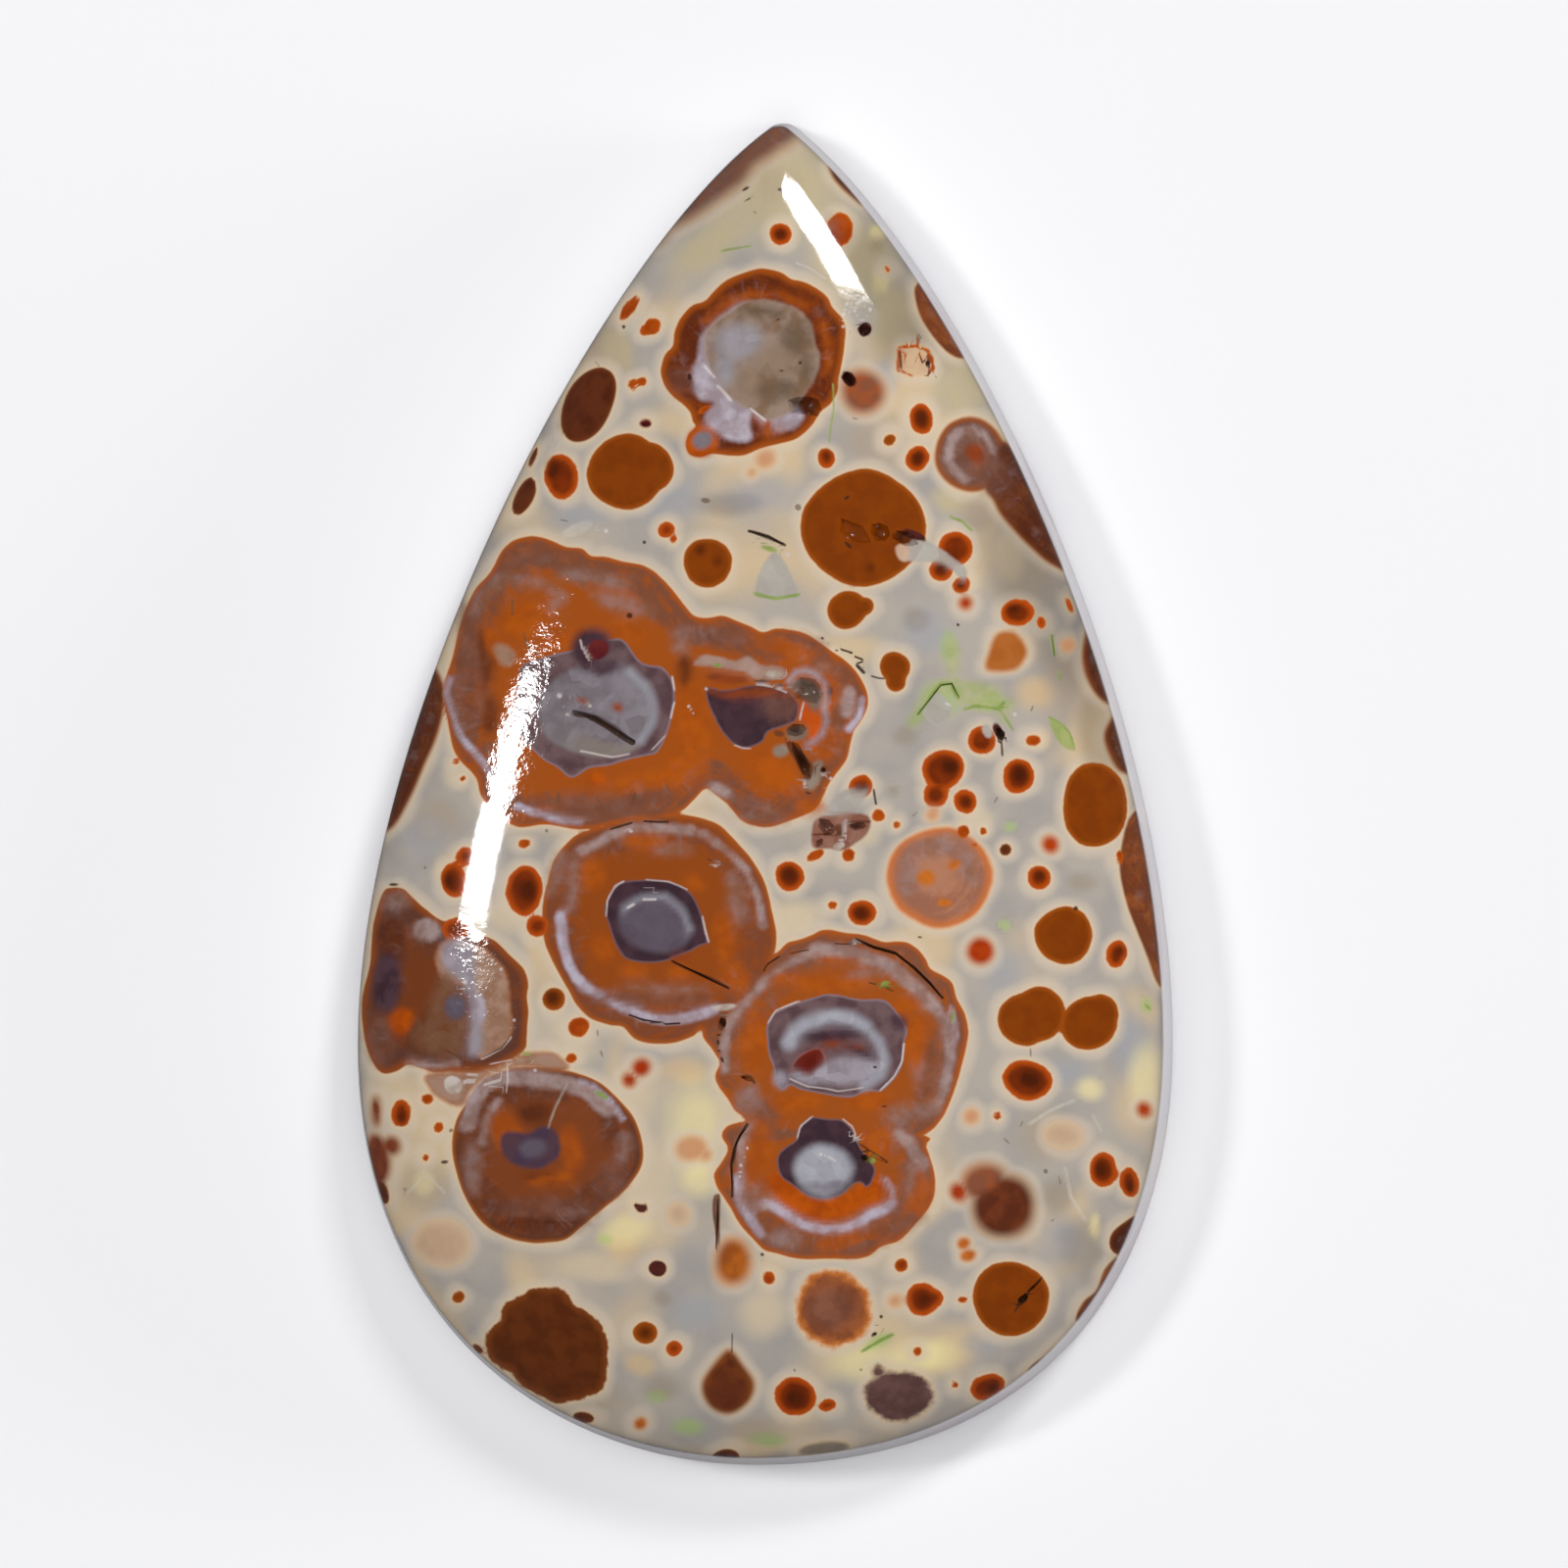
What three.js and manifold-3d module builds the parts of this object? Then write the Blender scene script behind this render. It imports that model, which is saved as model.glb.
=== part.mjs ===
// Asteroid jasper cabochon: one polished stone with a pear outline, flat below and domed above.
// Millimetres. +X is to the right, +Y runs towards the tip and +Z out of the dome.
// The origin is the middle of the flat back.

import * as THREE from "three";
import { mergeVertices } from "three/addons/utils/BufferGeometryUtils.js";
import Module from "manifold-3d";

// driving dimensions of the whole stone
const stoneLength = 43;
const stoneWidth = 26.2;
const stoneThickness = 6;

// the pear outline, seen from above: four long Bezier stretches and a blunt tip
const widestLevel = -8;          // Y of the widest place, on both sides
const footShift = -0.2;          // X of the lowest point
const tipLeft = 0.3;             // the two ends of the blunt tip
const tipRight = 0.92;
const tipDrop = 0.05;            // how far the ends of the tip lie below its middle
const leftSide = { tipPull: [-5.3, -3.6], flankPull: 10.5, bellyPull: 9.35, footPull: 6.3 };
const rightSide = { tipPull: [5.3, -4.15], flankPull: 11.1, bellyPull: 8.8, footPull: 7.9 };
const flankSteps = 28;
const bellySteps = 24;
const tipSteps = 2;

// the edge: a small bevel at the foot and a wall that leans in
const footBevel = 0.25;
const wallHeight = 1.9;
const wallLean = 0.22;

// the dome above the wall
const domeRings = 17;
const shoulderPower = 2.15;      // above 2 the middle is flatter and the shoulder steeper
const ridgeFade = 3;             // how fast the contours lose the tip's corner on the way in
const upperReach = 25;           // the oval they turn into: its reach above the widest level and below
const lowerReach = 13.4;

// open pits in the polished face: place, half sizes, turn in degrees and depth
const pitSides = 5;
const pitProud = 0.25;           // how far a pit's cutter stands above the face
const pits = [
  { x: 1.3, y: 12.45, halfLong: 0.55, halfShort: 0.36, turn: -15, depth: 0.45 },
  { x: 2.7, y: 13.3, halfLong: 0.32, halfShort: 0.25, turn: -40, depth: 0.35 },
  { x: 3.2, y: 14.9, halfLong: 0.28, halfShort: 0.24, turn: 70, depth: 0.35 },
  { x: 1.38, y: 3.25, halfLong: 0.6, halfShort: 0.42, turn: -40, depth: 0.45 },
  { x: 0.98, y: 2.02, halfLong: 0.42, halfShort: 0.22, turn: 10, depth: 0.35 },
  { x: 1.18, y: 1.1, halfLong: 0.85, halfShort: 0.26, turn: -62, depth: 0.45 },
  { x: 2.85, y: 8.4, halfLong: 0.62, halfShort: 0.4, turn: -38, depth: 0.3 },
  { x: 4.45, y: 8.2, halfLong: 0.5, halfShort: 0.26, turn: -20, depth: 0.4 },
  { x: 2.1, y: -1.25, halfLong: 0.55, halfShort: 0.26, turn: -25, depth: 0.35 },
  { x: 7.3, y: 2.15, halfLong: 0.36, halfShort: 0.24, turn: 50, depth: 0.3 },
];

const halfLength = stoneLength / 2;
const halfWidth = stoneWidth / 2;
const domeRise = stoneThickness - wallHeight;
const bellyCentre = new THREE.Vector2(0, widestLevel);

function pearOutline() {
  const tipLevel = halfLength - tipDrop;
  const path = new THREE.Path();
  path.moveTo(tipLeft, tipLevel);
  path.bezierCurveTo(
    tipLeft + leftSide.tipPull[0], tipLevel + leftSide.tipPull[1],
    -halfWidth, widestLevel + leftSide.flankPull,
    -halfWidth, widestLevel);
  path.bezierCurveTo(
    -halfWidth, widestLevel - leftSide.bellyPull,
    footShift - leftSide.footPull, -halfLength,
    footShift, -halfLength);
  path.bezierCurveTo(
    footShift + rightSide.footPull, -halfLength,
    halfWidth, widestLevel - rightSide.bellyPull,
    halfWidth, widestLevel);
  path.bezierCurveTo(
    halfWidth, widestLevel + rightSide.flankPull,
    tipRight + rightSide.tipPull[0], tipLevel + rightSide.tipPull[1],
    tipRight, tipLevel);
  path.quadraticCurveTo((tipLeft + tipRight) / 2, halfLength + tipDrop, tipLeft, tipLevel);

  const steps = [flankSteps, bellySteps, bellySteps, flankSteps, tipSteps];
  return path.curves.flatMap((curve, i) => curve.getPoints(steps[i]).slice(0, -1));
}

// The outline moved inwards, square to itself, by a small distance.
function insetOutline(outline, distance) {
  const count = outline.length;
  return outline.map((point, i) => {
    const along = outline[(i + 1) % count].clone().sub(outline[(i + count - 1) % count]).normalize();
    return new THREE.Vector2(point.x - along.y * distance, point.y + along.x * distance);
  });
}

// A contour of the dome: the outline drawn in to the share `reach` of its distance from
// the middle of the belly, and rounded towards an oval on the way.
function domeContour(outline, reach) {
  const rounding = 1 - Math.pow(reach, ridgeFade);
  return outline.map((point) => {
    const arm = point.clone().sub(bellyCentre);
    const length = arm.length();
    const direction = arm.divideScalar(length);
    const tall = direction.y > 0 ? upperReach : lowerReach;
    const oval = (halfWidth * tall) / Math.hypot(tall * direction.x, halfWidth * direction.y);
    const distance = reach * ((1 - rounding) * length + rounding * oval);
    return direction.multiplyScalar(distance).add(bellyCentre);
  });
}

function domeHeight(reach) {
  return wallHeight + domeRise * Math.sqrt(1 - Math.pow(reach, shoulderPower));
}

// Closed rings from the back's edge up to the top, joined by bands of triangles.
function stoneBlank() {
  const outline = pearOutline();
  const rings = [
    { points: insetOutline(outline, footBevel), z: 0 },
    { points: outline, z: footBevel },
    { points: insetOutline(outline, wallLean), z: wallHeight },
  ];
  for (let k = 1; k < domeRings; k += 1) {
    const reach = Math.cos((k / domeRings) * (Math.PI / 2));
    rings.push({ points: domeContour(rings[2].points, reach), z: domeHeight(reach) });
  }

  const count = outline.length;
  const positions = rings.flatMap((ring) => ring.points.flatMap((p) => [p.x, p.y, ring.z]));
  const backMiddle = positions.length / 3;
  const topMiddle = backMiddle + 1;
  positions.push(bellyCentre.x, bellyCentre.y, 0);
  positions.push(bellyCentre.x, bellyCentre.y, stoneThickness);

  const triangles = [];
  const lastRing = (rings.length - 1) * count;
  for (let i = 0; i < count; i += 1) {
    const next = (i + 1) % count;
    triangles.push(backMiddle, next, i);
    for (let base = 0; base < lastRing; base += count) {
      triangles.push(base + i, base + next, base + count + next);
      triangles.push(base + i, base + count + next, base + count + i);
    }
    triangles.push(lastRing + i, lastRing + next, topMiddle);
  }
  return { positions, triangles };
}

// The height of the dome over a place, found by walking the contours outwards.
function surfaceHeight(x, y) {
  const wallTop = insetOutline(pearOutline(), wallLean);
  const arm = new THREE.Vector2(x, y).sub(bellyCentre);
  const target = arm.length();
  const angle = arm.angle();
  const nearest = wallTop.reduce((best, point) => {
    const turn = (p) => Math.abs(Math.atan2(
      Math.sin(p.clone().sub(bellyCentre).angle() - angle),
      Math.cos(p.clone().sub(bellyCentre).angle() - angle)));
    return turn(point) < turn(best) ? point : best;
  });
  let low = 0;
  let high = 1;
  for (let step = 0; step < 20; step += 1) {
    const reach = (low + high) / 2;
    const distance = domeContour([nearest], reach)[0].distanceTo(bellyCentre);
    if (distance < target) low = reach;
    else high = reach;
  }
  return domeHeight(low);
}

// An upside-down cone of few sides, whose point lies `depth` under the face.
function pitCutter(pit) {
  const tall = pit.depth + pitProud;
  const widen = tall / pit.depth;
  const cone = new THREE.ConeGeometry(1, tall, pitSides);
  cone.rotateX(-Math.PI / 2);
  cone.scale(pit.halfLong * widen, pit.halfShort * widen, 1);
  cone.rotateZ(THREE.MathUtils.degToRad(pit.turn));
  cone.translate(pit.x, pit.y, surfaceHeight(pit.x, pit.y) + pitProud - tall / 2);
  return cone;
}

const wasm = await Module();
wasm.setup();

function closedSolid(positions, triangles) {
  return new wasm.Manifold(new wasm.Mesh({
    numProp: 3,
    vertProperties: new Float32Array(positions),
    triVerts: new Uint32Array(triangles),
  }));
}

// A primitive repeats the corners that its faces share, so they are merged first.
function solidFromGeometry(geometry) {
  geometry.deleteAttribute("normal");
  geometry.deleteAttribute("uv");
  const merged = mergeVertices(geometry);
  return closedSolid(merged.getAttribute("position").array, merged.index.array);
}

function makeCabochon() {
  const blank = stoneBlank();
  let stone = closedSolid(blank.positions, blank.triangles);
  for (const pit of pits) {
    stone = stone.subtract(solidFromGeometry(pitCutter(pit)));
  }
  const result = stone.getMesh();
  const geometry = new THREE.BufferGeometry();
  geometry.setAttribute("position", new THREE.BufferAttribute(new Float32Array(result.vertProperties), 3));
  geometry.setIndex(new THREE.BufferAttribute(new Uint32Array(result.triVerts), 1));
  geometry.computeVertexNormals();

  const polishedJasper = new THREE.MeshStandardMaterial({ color: 0xb08d66, roughness: 0.1, metalness: 0 });
  const cabochon = new THREE.Mesh(geometry, polishedJasper);
  cabochon.name = "cabochon";
  return cabochon;
}

const model = new THREE.Group();
model.add(makeCabochon());

export default model;
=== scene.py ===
# Asteroid jasper cabochon: the polished stone as a fine mesh, its orb pattern, studio light and camera.
import math

import bmesh
import bpy
import numpy as np
from mathutils import Matrix, Vector
from mathutils.bvhtree import BVHTree


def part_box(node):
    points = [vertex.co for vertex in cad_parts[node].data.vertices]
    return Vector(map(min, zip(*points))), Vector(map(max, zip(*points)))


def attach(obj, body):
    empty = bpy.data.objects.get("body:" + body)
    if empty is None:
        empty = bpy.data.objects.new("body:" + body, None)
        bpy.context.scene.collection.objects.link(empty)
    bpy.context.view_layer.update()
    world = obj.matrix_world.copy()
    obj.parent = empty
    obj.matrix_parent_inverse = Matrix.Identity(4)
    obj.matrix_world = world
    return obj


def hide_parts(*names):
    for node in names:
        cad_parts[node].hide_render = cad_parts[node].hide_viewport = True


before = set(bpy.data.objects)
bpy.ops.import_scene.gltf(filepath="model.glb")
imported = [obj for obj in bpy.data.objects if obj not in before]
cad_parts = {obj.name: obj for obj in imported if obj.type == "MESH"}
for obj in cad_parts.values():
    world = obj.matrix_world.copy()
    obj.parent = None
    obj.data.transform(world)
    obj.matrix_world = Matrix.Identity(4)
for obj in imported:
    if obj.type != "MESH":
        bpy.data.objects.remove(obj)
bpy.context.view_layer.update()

mm = 0.001

# The pear outline and the dome over it. Sizes in mm, as in the solid.
stoneLow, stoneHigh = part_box("cabochon")
stone = {
    "length": (stoneHigh.y - stoneLow.y) / mm,
    "width": (stoneHigh.x - stoneLow.x) / mm,
    "thickness": (stoneHigh.z - stoneLow.z) / mm,
    "widestLevel": -8.0,
    "footShift": -0.2,
    "tipLeft": 0.3,
    "tipRight": 0.92,
    "tipDrop": 0.05,
    "leftTipPull": (-5.3, -3.6),
    "rightTipPull": (5.3, -4.15),
    "leftFlankPull": 10.5,
    "rightFlankPull": 11.1,
    "leftBellyPull": 9.35,
    "rightBellyPull": 8.8,
    "leftFootPull": 6.3,
    "rightFootPull": 7.9,
    "footBevel": 0.25,
    "wallHeight": 1.9,
    "wallLean": 0.22,
    "shoulderPower": 2.15,
    "ridgeFade": 3.0,
    "upperReach": 25.0,
    "lowerReach": 13.4,
    "capReach": 0.93,          # where the rows of the cap meet the rings of the shoulder
    "rows": 400,
    "columns": 192,
    "backColumns": 32,
    "thinning": 4,             # narrow rows keep every 2nd column, or at most every 2 ** 4th
    "shoulderRings": 10,
    "wallRings": 6,
    "footRings": 3,
    "curveSteps": 64,          # of each stretch of the outline
    "tangentRounds": 3,        # of smoothing, where the outline's stretches meet
    "heightSteps": 6,          # Newton steps for the dome's height over a place
    "mergeGap": 0.002,         # closer points become one
}


def outlineCurve():
    halfLength = stone["length"] / 2
    halfWidth = stone["width"] / 2
    widest = stone["widestLevel"]
    tipLevel = halfLength - stone["tipDrop"]
    tipMiddle = (stone["tipLeft"] + stone["tipRight"]) / 2
    tipSoft = (stone["tipRight"] - stone["tipLeft"]) / 6
    # each point: place, handle towards the point before, handle towards the point after
    points = [
        ((stone["footShift"], -halfLength), (-stone["leftFootPull"], 0), (stone["rightFootPull"], 0)),
        ((halfWidth, widest), (0, -stone["rightBellyPull"]), (0, stone["rightFlankPull"])),
        ((stone["tipRight"], tipLevel), stone["rightTipPull"], (-tipSoft, stone["tipDrop"] / 2)),
        ((tipMiddle, halfLength), (tipSoft, 0), (-tipSoft, 0)),
        ((stone["tipLeft"], tipLevel), (tipSoft, stone["tipDrop"] / 2), stone["leftTipPull"]),
        ((-halfWidth, widest), (0, stone["leftFlankPull"]), (0, -stone["leftBellyPull"])),
    ]
    curve = bpy.data.curves.new("pearOutline", "CURVE")
    curve.resolution_u = stone["curveSteps"]
    spline = curve.splines.new("BEZIER")
    spline.bezier_points.add(len(points) - 1)
    for bezier, (place, before, after) in zip(spline.bezier_points, points):
        bezier.handle_left_type = "FREE"
        bezier.handle_right_type = "FREE"
        bezier.co = (place[0], place[1], 0)
        bezier.handle_left = (place[0] + before[0], place[1] + before[1], 0)
        bezier.handle_right = (place[0] + after[0], place[1] + after[1], 0)
    spline.use_cyclic_u = True
    outline = bpy.data.objects.new("pearOutline", curve)
    bpy.context.scene.collection.objects.link(outline)
    return outline


# Small helpers that put nodes into a tree, for geometry and for materials alike.
def put(tree, socket, value):
    if isinstance(value, bpy.types.NodeSocket):
        tree.links.new(value, socket)
    elif value is not None:
        socket.default_value = value


def addNode(tree, kind, values=None, **settings):
    node = tree.nodes.new(kind)
    for name, value in settings.items():
        setattr(node, name, value)
    for name, value in (values or {}).items():
        put(tree, node.inputs[name], value)
    return node


# the tree is the one that the values' own nodes are in
def calc(operation, *values):
    tree = next(value.id_data for value in values if isinstance(value, bpy.types.NodeSocket))
    return addNode(tree, "ShaderNodeMath", dict(enumerate(values)), operation=operation).outputs[0]


def add(first, second):
    return calc("ADD", first, second)


def subtract(first, second):
    return calc("SUBTRACT", first, second)


def multiply(first, second):
    return calc("MULTIPLY", first, second)


def divide(first, second):
    return calc("DIVIDE", first, second)


def vectorCalc(operation, first, second=None, scale=None):
    node = addNode(first.id_data, "ShaderNodeVectorMath", {0: first, 1: second}, operation=operation)
    if scale is not None:
        put(first.id_data, node.inputs["Scale"], scale)
    return node.outputs["Value" if operation in ("LENGTH", "DOT_PRODUCT") else "Vector"]


def splitVector(vector):
    return addNode(vector.id_data, "ShaderNodeSeparateXYZ", {"Vector": vector}).outputs


def joinVector(tree, x=0.0, y=0.0, z=0.0):
    return addNode(tree, "ShaderNodeCombineXYZ", {"X": x, "Y": y, "Z": z}).outputs[0]


# Where the Mix node keeps its two inputs and its output, for each kind.
mixSockets = {"FLOAT": (2, 3, 0), "VECTOR": (4, 5, 1), "RGBA": (6, 7, 2)}


def blend(factor, under, over, kind="RGBA"):
    node = addNode(factor.id_data, "ShaderNodeMix", {"Factor": factor}, data_type=kind)
    first, second, result = mixSockets[kind]
    put(factor.id_data, node.inputs[first], under)
    put(factor.id_data, node.inputs[second], over)
    return node.outputs[result]


def makeInputs(tree, inputs):
    tree.interface.new_socket(name="Geometry", in_out="INPUT", socket_type="NodeSocketGeometry")
    for name, value in inputs.items():
        kind = "NodeSocketInt" if isinstance(value, int) else "NodeSocketFloat"
        if isinstance(value, bpy.types.Material):
            kind = "NodeSocketMaterial"
        tree.interface.new_socket(name=name, in_out="INPUT", socket_type=kind)
    tree.interface.new_socket(name="Geometry", in_out="OUTPUT", socket_type="NodeSocketGeometry")
    return tree.nodes.new("NodeGroupInput").outputs


def setInputs(modifier, inputs):
    for item in modifier.node_group.interface.items_tree:
        if item.item_type == "SOCKET" and item.in_out == "INPUT" and item.name in inputs:
            modifier[item.identifier] = inputs[item.name]


# The stone's tree. An outline curve goes in, and the closed stone comes out.
class StoneTree:
    def __init__(self, inputs):
        tree = bpy.data.node_groups.new("cabochonFromOutline", "GeometryNodeTree")
        given = makeInputs(tree, inputs)
        self.tree, self.given = tree, given
        self.around = multiply(given["Rows"], 2)
        self.ring = addNode(tree, "GeometryNodeResampleCurve",
                            {"Curve": given["Geometry"], "Count": self.around}).outputs[0]
        self.position = tree.nodes.new("GeometryNodeInputPosition").outputs[0]
        tangent = tree.nodes.new("GeometryNodeInputTangent").outputs[0]
        softTangent = addNode(tree, "GeometryNodeBlurAttribute", data_type="FLOAT_VECTOR")
        put(tree, softTangent.inputs[0], tangent)
        put(tree, softTangent.inputs["Iterations"], stone["tangentRounds"])
        inward = vectorCalc("CROSS_PRODUCT", joinVector(tree, z=1.0), softTangent.outputs[0])
        self.inward = vectorCalc("NORMALIZE", inward)
        self.belly = joinVector(tree, y=given["Widest level"])

    def onRing(self, index, value):
        wrapped = calc("FLOORED_MODULO", index, self.around)
        node = addNode(self.tree, "GeometryNodeSampleIndex", {"Geometry": self.ring, "Index": wrapped},
                       data_type="FLOAT_VECTOR", domain="POINT")
        put(self.tree, node.inputs["Value"], value)
        return node.outputs[0]

    def moved(self, index, inset):
        shift = vectorCalc("SCALE", self.onRing(index, self.inward), scale=inset)
        return vectorCalc("ADD", self.onRing(index, self.position), shift)

    # how far the oval that the contours turn into reaches in a direction
    def ovalReach(self, direction):
        given = self.given
        x, y = splitVector(direction)[:2]
        upper = calc("GREATER_THAN", y, 0)
        tall = blend(upper, given["Lower reach"], given["Upper reach"], "FLOAT")
        half = given["Half width"]
        wide = calc("POWER", multiply(tall, x), 2)
        high = calc("POWER", multiply(half, y), 2)
        return divide(multiply(half, tall), calc("SQRT", add(wide, high)))

    # distance = reach * oval + reach ^ (fade + 1) * (length - oval)
    def contourDistance(self, reach, oval, length):
        power = calc("POWER", reach, add(self.given["Ridge fade"], 1))
        rest = multiply(power, subtract(length, oval))
        return calc("MULTIPLY_ADD", reach, oval, rest)

    def contour(self, index, reach):
        arm = vectorCalc("SUBTRACT", self.moved(index, self.given["Wall lean"]), self.belly)
        length = vectorCalc("LENGTH", arm)
        direction = vectorCalc("NORMALIZE", arm)
        distance = self.contourDistance(reach, self.ovalReach(direction), length)
        return vectorCalc("ADD", self.belly, vectorCalc("SCALE", direction, scale=distance))

    def domeHeight(self, reach):
        given = self.given
        fall = calc("POWER", calc("MINIMUM", reach, 1.0), given["Shoulder power"])
        root = calc("SQRT", subtract(1.0, fall))
        rise = subtract(given["Thickness"], given["Wall height"])
        return calc("MULTIPLY_ADD", rise, root, given["Wall height"])

    # a unit grid whose X counts points along the outline and Y counts steps across
    def gridOf(self, alongCount, acrossCount):
        grid = addNode(self.tree, "GeometryNodeMeshGrid", {
            "Size X": 1.0, "Size Y": 1.0,
            "Vertices X": add(alongCount, 1), "Vertices Y": add(acrossCount, 1)}).outputs[0]
        x, y = splitVector(self.position)[:2]
        x = calc("ROUND", multiply(add(x, 0.5), alongCount))
        y = calc("ROUND", multiply(add(y, 0.5), acrossCount))
        return grid, x, y

    def shaped(self, grid, place):
        return addNode(self.tree, "GeometryNodeSetPosition", {"Geometry": grid, "Position": place}).outputs[0]

    def raised(self, place, height):
        x, y = splitVector(place)[:2]
        return joinVector(self.tree, x, y, height)

    # a band round the edge: the shoulder of the dome, the wall or the rounded foot
    def band(self, rings, placeAt):
        grid, index, step = self.gridOf(self.around, rings)
        share = divide(step, rings)
        return self.shaped(grid, placeAt(index, share))

    def shoulderAt(self, index, share):
        capAngle = calc("ARCCOSINE", self.given["Cap reach"])
        reach = calc("COSINE", multiply(capAngle, share))
        return self.raised(self.contour(index, reach), self.domeHeight(reach))

    def wallAt(self, index, share):
        given = self.given
        height = addNode(self.tree, "ShaderNodeMapRange",
                         {"Value": share, 3: given["Foot bevel"], 4: given["Wall height"]}).outputs[0]
        return self.raised(self.moved(index, multiply(share, given["Wall lean"])), height)

    def footAt(self, index, share):
        bevel = self.given["Foot bevel"]
        angle = multiply(share, math.pi / 2)
        inset = multiply(bevel, subtract(1.0, calc("SINE", angle)))
        height = multiply(bevel, subtract(1.0, calc("COSINE", angle)))
        return self.raised(self.moved(index, inset), height)

    # Rows between two points of the outline. The narrower a row, the fewer columns it keeps.
    def rowsBetween(self, columns, edgeAt):
        grid, row, column = self.gridOf(self.given["Rows"], columns)
        left = edgeAt(subtract(self.around, row))
        right = edgeAt(row)
        width = vectorCalc("LENGTH", vectorCalc("SUBTRACT", right, left))
        widest = multiply(self.given["Half width"], 2)
        share = divide(widest, calc("MAXIMUM", width, 0.01))    # no row is narrower than 0.01 mm
        level = calc("FLOOR", calc("LOGARITHM", share, 2.0))
        level = calc("MINIMUM", level, float(stone["thinning"]))
        stride = calc("POWER", 2.0, calc("MAXIMUM", level, 0.0))
        kept = multiply(calc("FLOOR", divide(column, stride)), stride)
        place = blend(divide(kept, columns), left, right, "VECTOR")
        middle = divide(columns, 2)
        fromMiddle = calc("ABSOLUTE", subtract(kept, middle))
        onEdge = calc("GREATER_THAN", fromMiddle, subtract(middle, 0.5))
        return grid, place, onEdge

    # a thin upright curtain along the wall's top edge, and how far it is from the belly's middle
    def edgeDistance(self, direction):
        tree, up = self.tree, joinVector(self.tree, z=1.0)
        inset = vectorCalc("SCALE", self.inward, scale=self.given["Wall lean"])
        outer = vectorCalc("ADD", self.position, inset)
        low = self.shaped(self.ring, vectorCalc("SUBTRACT", outer, up))
        edges = addNode(tree, "GeometryNodeCurveToMesh", {"Curve": low}).outputs[0]
        curtain = addNode(tree, "GeometryNodeExtrudeMesh",
                          {"Mesh": edges, "Offset": up, "Offset Scale": 2.0}, mode="EDGES").outputs[0]
        ray = addNode(tree, "GeometryNodeRaycast", {
            "Target Geometry": curtain, "Source Position": self.belly, "Ray Direction": direction})
        return ray.outputs["Hit Distance"]

    # the dome's height over a place: a few Newton steps find which contour passes there
    def heightOver(self, place, onEdge):
        fade = self.given["Ridge fade"]
        arm = vectorCalc("SUBTRACT", place, self.belly)
        target = vectorCalc("LENGTH", arm)
        direction = vectorCalc("NORMALIZE", arm)
        length = self.edgeDistance(direction)
        oval = self.ovalReach(direction)
        reach = divide(target, length)
        for _ in range(stone["heightSteps"]):
            miss = subtract(self.contourDistance(reach, oval, length), target)
            bend = multiply(add(fade, 1), calc("POWER", reach, fade))
            slope = calc("MULTIPLY_ADD", bend, subtract(length, oval), oval)
            reach = subtract(reach, divide(miss, slope))
        return self.domeHeight(blend(onEdge, reach, self.given["Cap reach"], "FLOAT"))

    def capEdge(self, index):
        return self.contour(index, self.given["Cap reach"])

    def backEdge(self, index):
        return self.moved(index, self.given["Foot bevel"])

    def cap(self):
        grid, place, onEdge = self.rowsBetween(self.given["Columns"], self.capEdge)
        cap = self.shaped(grid, self.raised(place, self.heightOver(place, onEdge)))
        return addNode(self.tree, "GeometryNodeFlipFaces", {"Mesh": cap}).outputs[0]

    def back(self):
        grid, place = self.rowsBetween(self.given["Back columns"], self.backEdge)[:2]
        return self.shaped(grid, place)

    def build(self):
        tree, given = self.tree, self.given
        joined = tree.nodes.new("GeometryNodeJoinGeometry")
        for part in (self.cap(), self.band(given["Shoulder rings"], self.shoulderAt),
                     self.band(given["Wall rings"], self.wallAt),
                     self.band(given["Foot rings"], self.footAt), self.back()):
            tree.links.new(part, joined.inputs[0])
        merged = addNode(tree, "GeometryNodeMergeByDistance",
                         {"Geometry": joined.outputs[0], "Distance": stone["mergeGap"]}).outputs[0]
        smooth = addNode(tree, "GeometryNodeSetShadeSmooth", {"Geometry": merged}).outputs[0]
        metres = addNode(tree, "GeometryNodeTransform",
                         {"Geometry": smooth, "Scale": (mm, mm, mm)}).outputs[0]
        real = addNode(tree, "GeometryNodeRealizeInstances", {"Geometry": metres}).outputs[0]
        painted = addNode(tree, "GeometryNodeSetMaterial",
                          {"Geometry": real, "Material": given["Material"]}).outputs[0]
        put(tree, tree.nodes.new("NodeGroupOutput").inputs["Geometry"], painted)
        return tree


def onlyMaterial(mesh, material):
    mesh.materials.clear()
    mesh.materials.append(material)
    mesh.polygons.foreach_set("material_index", [0] * len(mesh.polygons))


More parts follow.
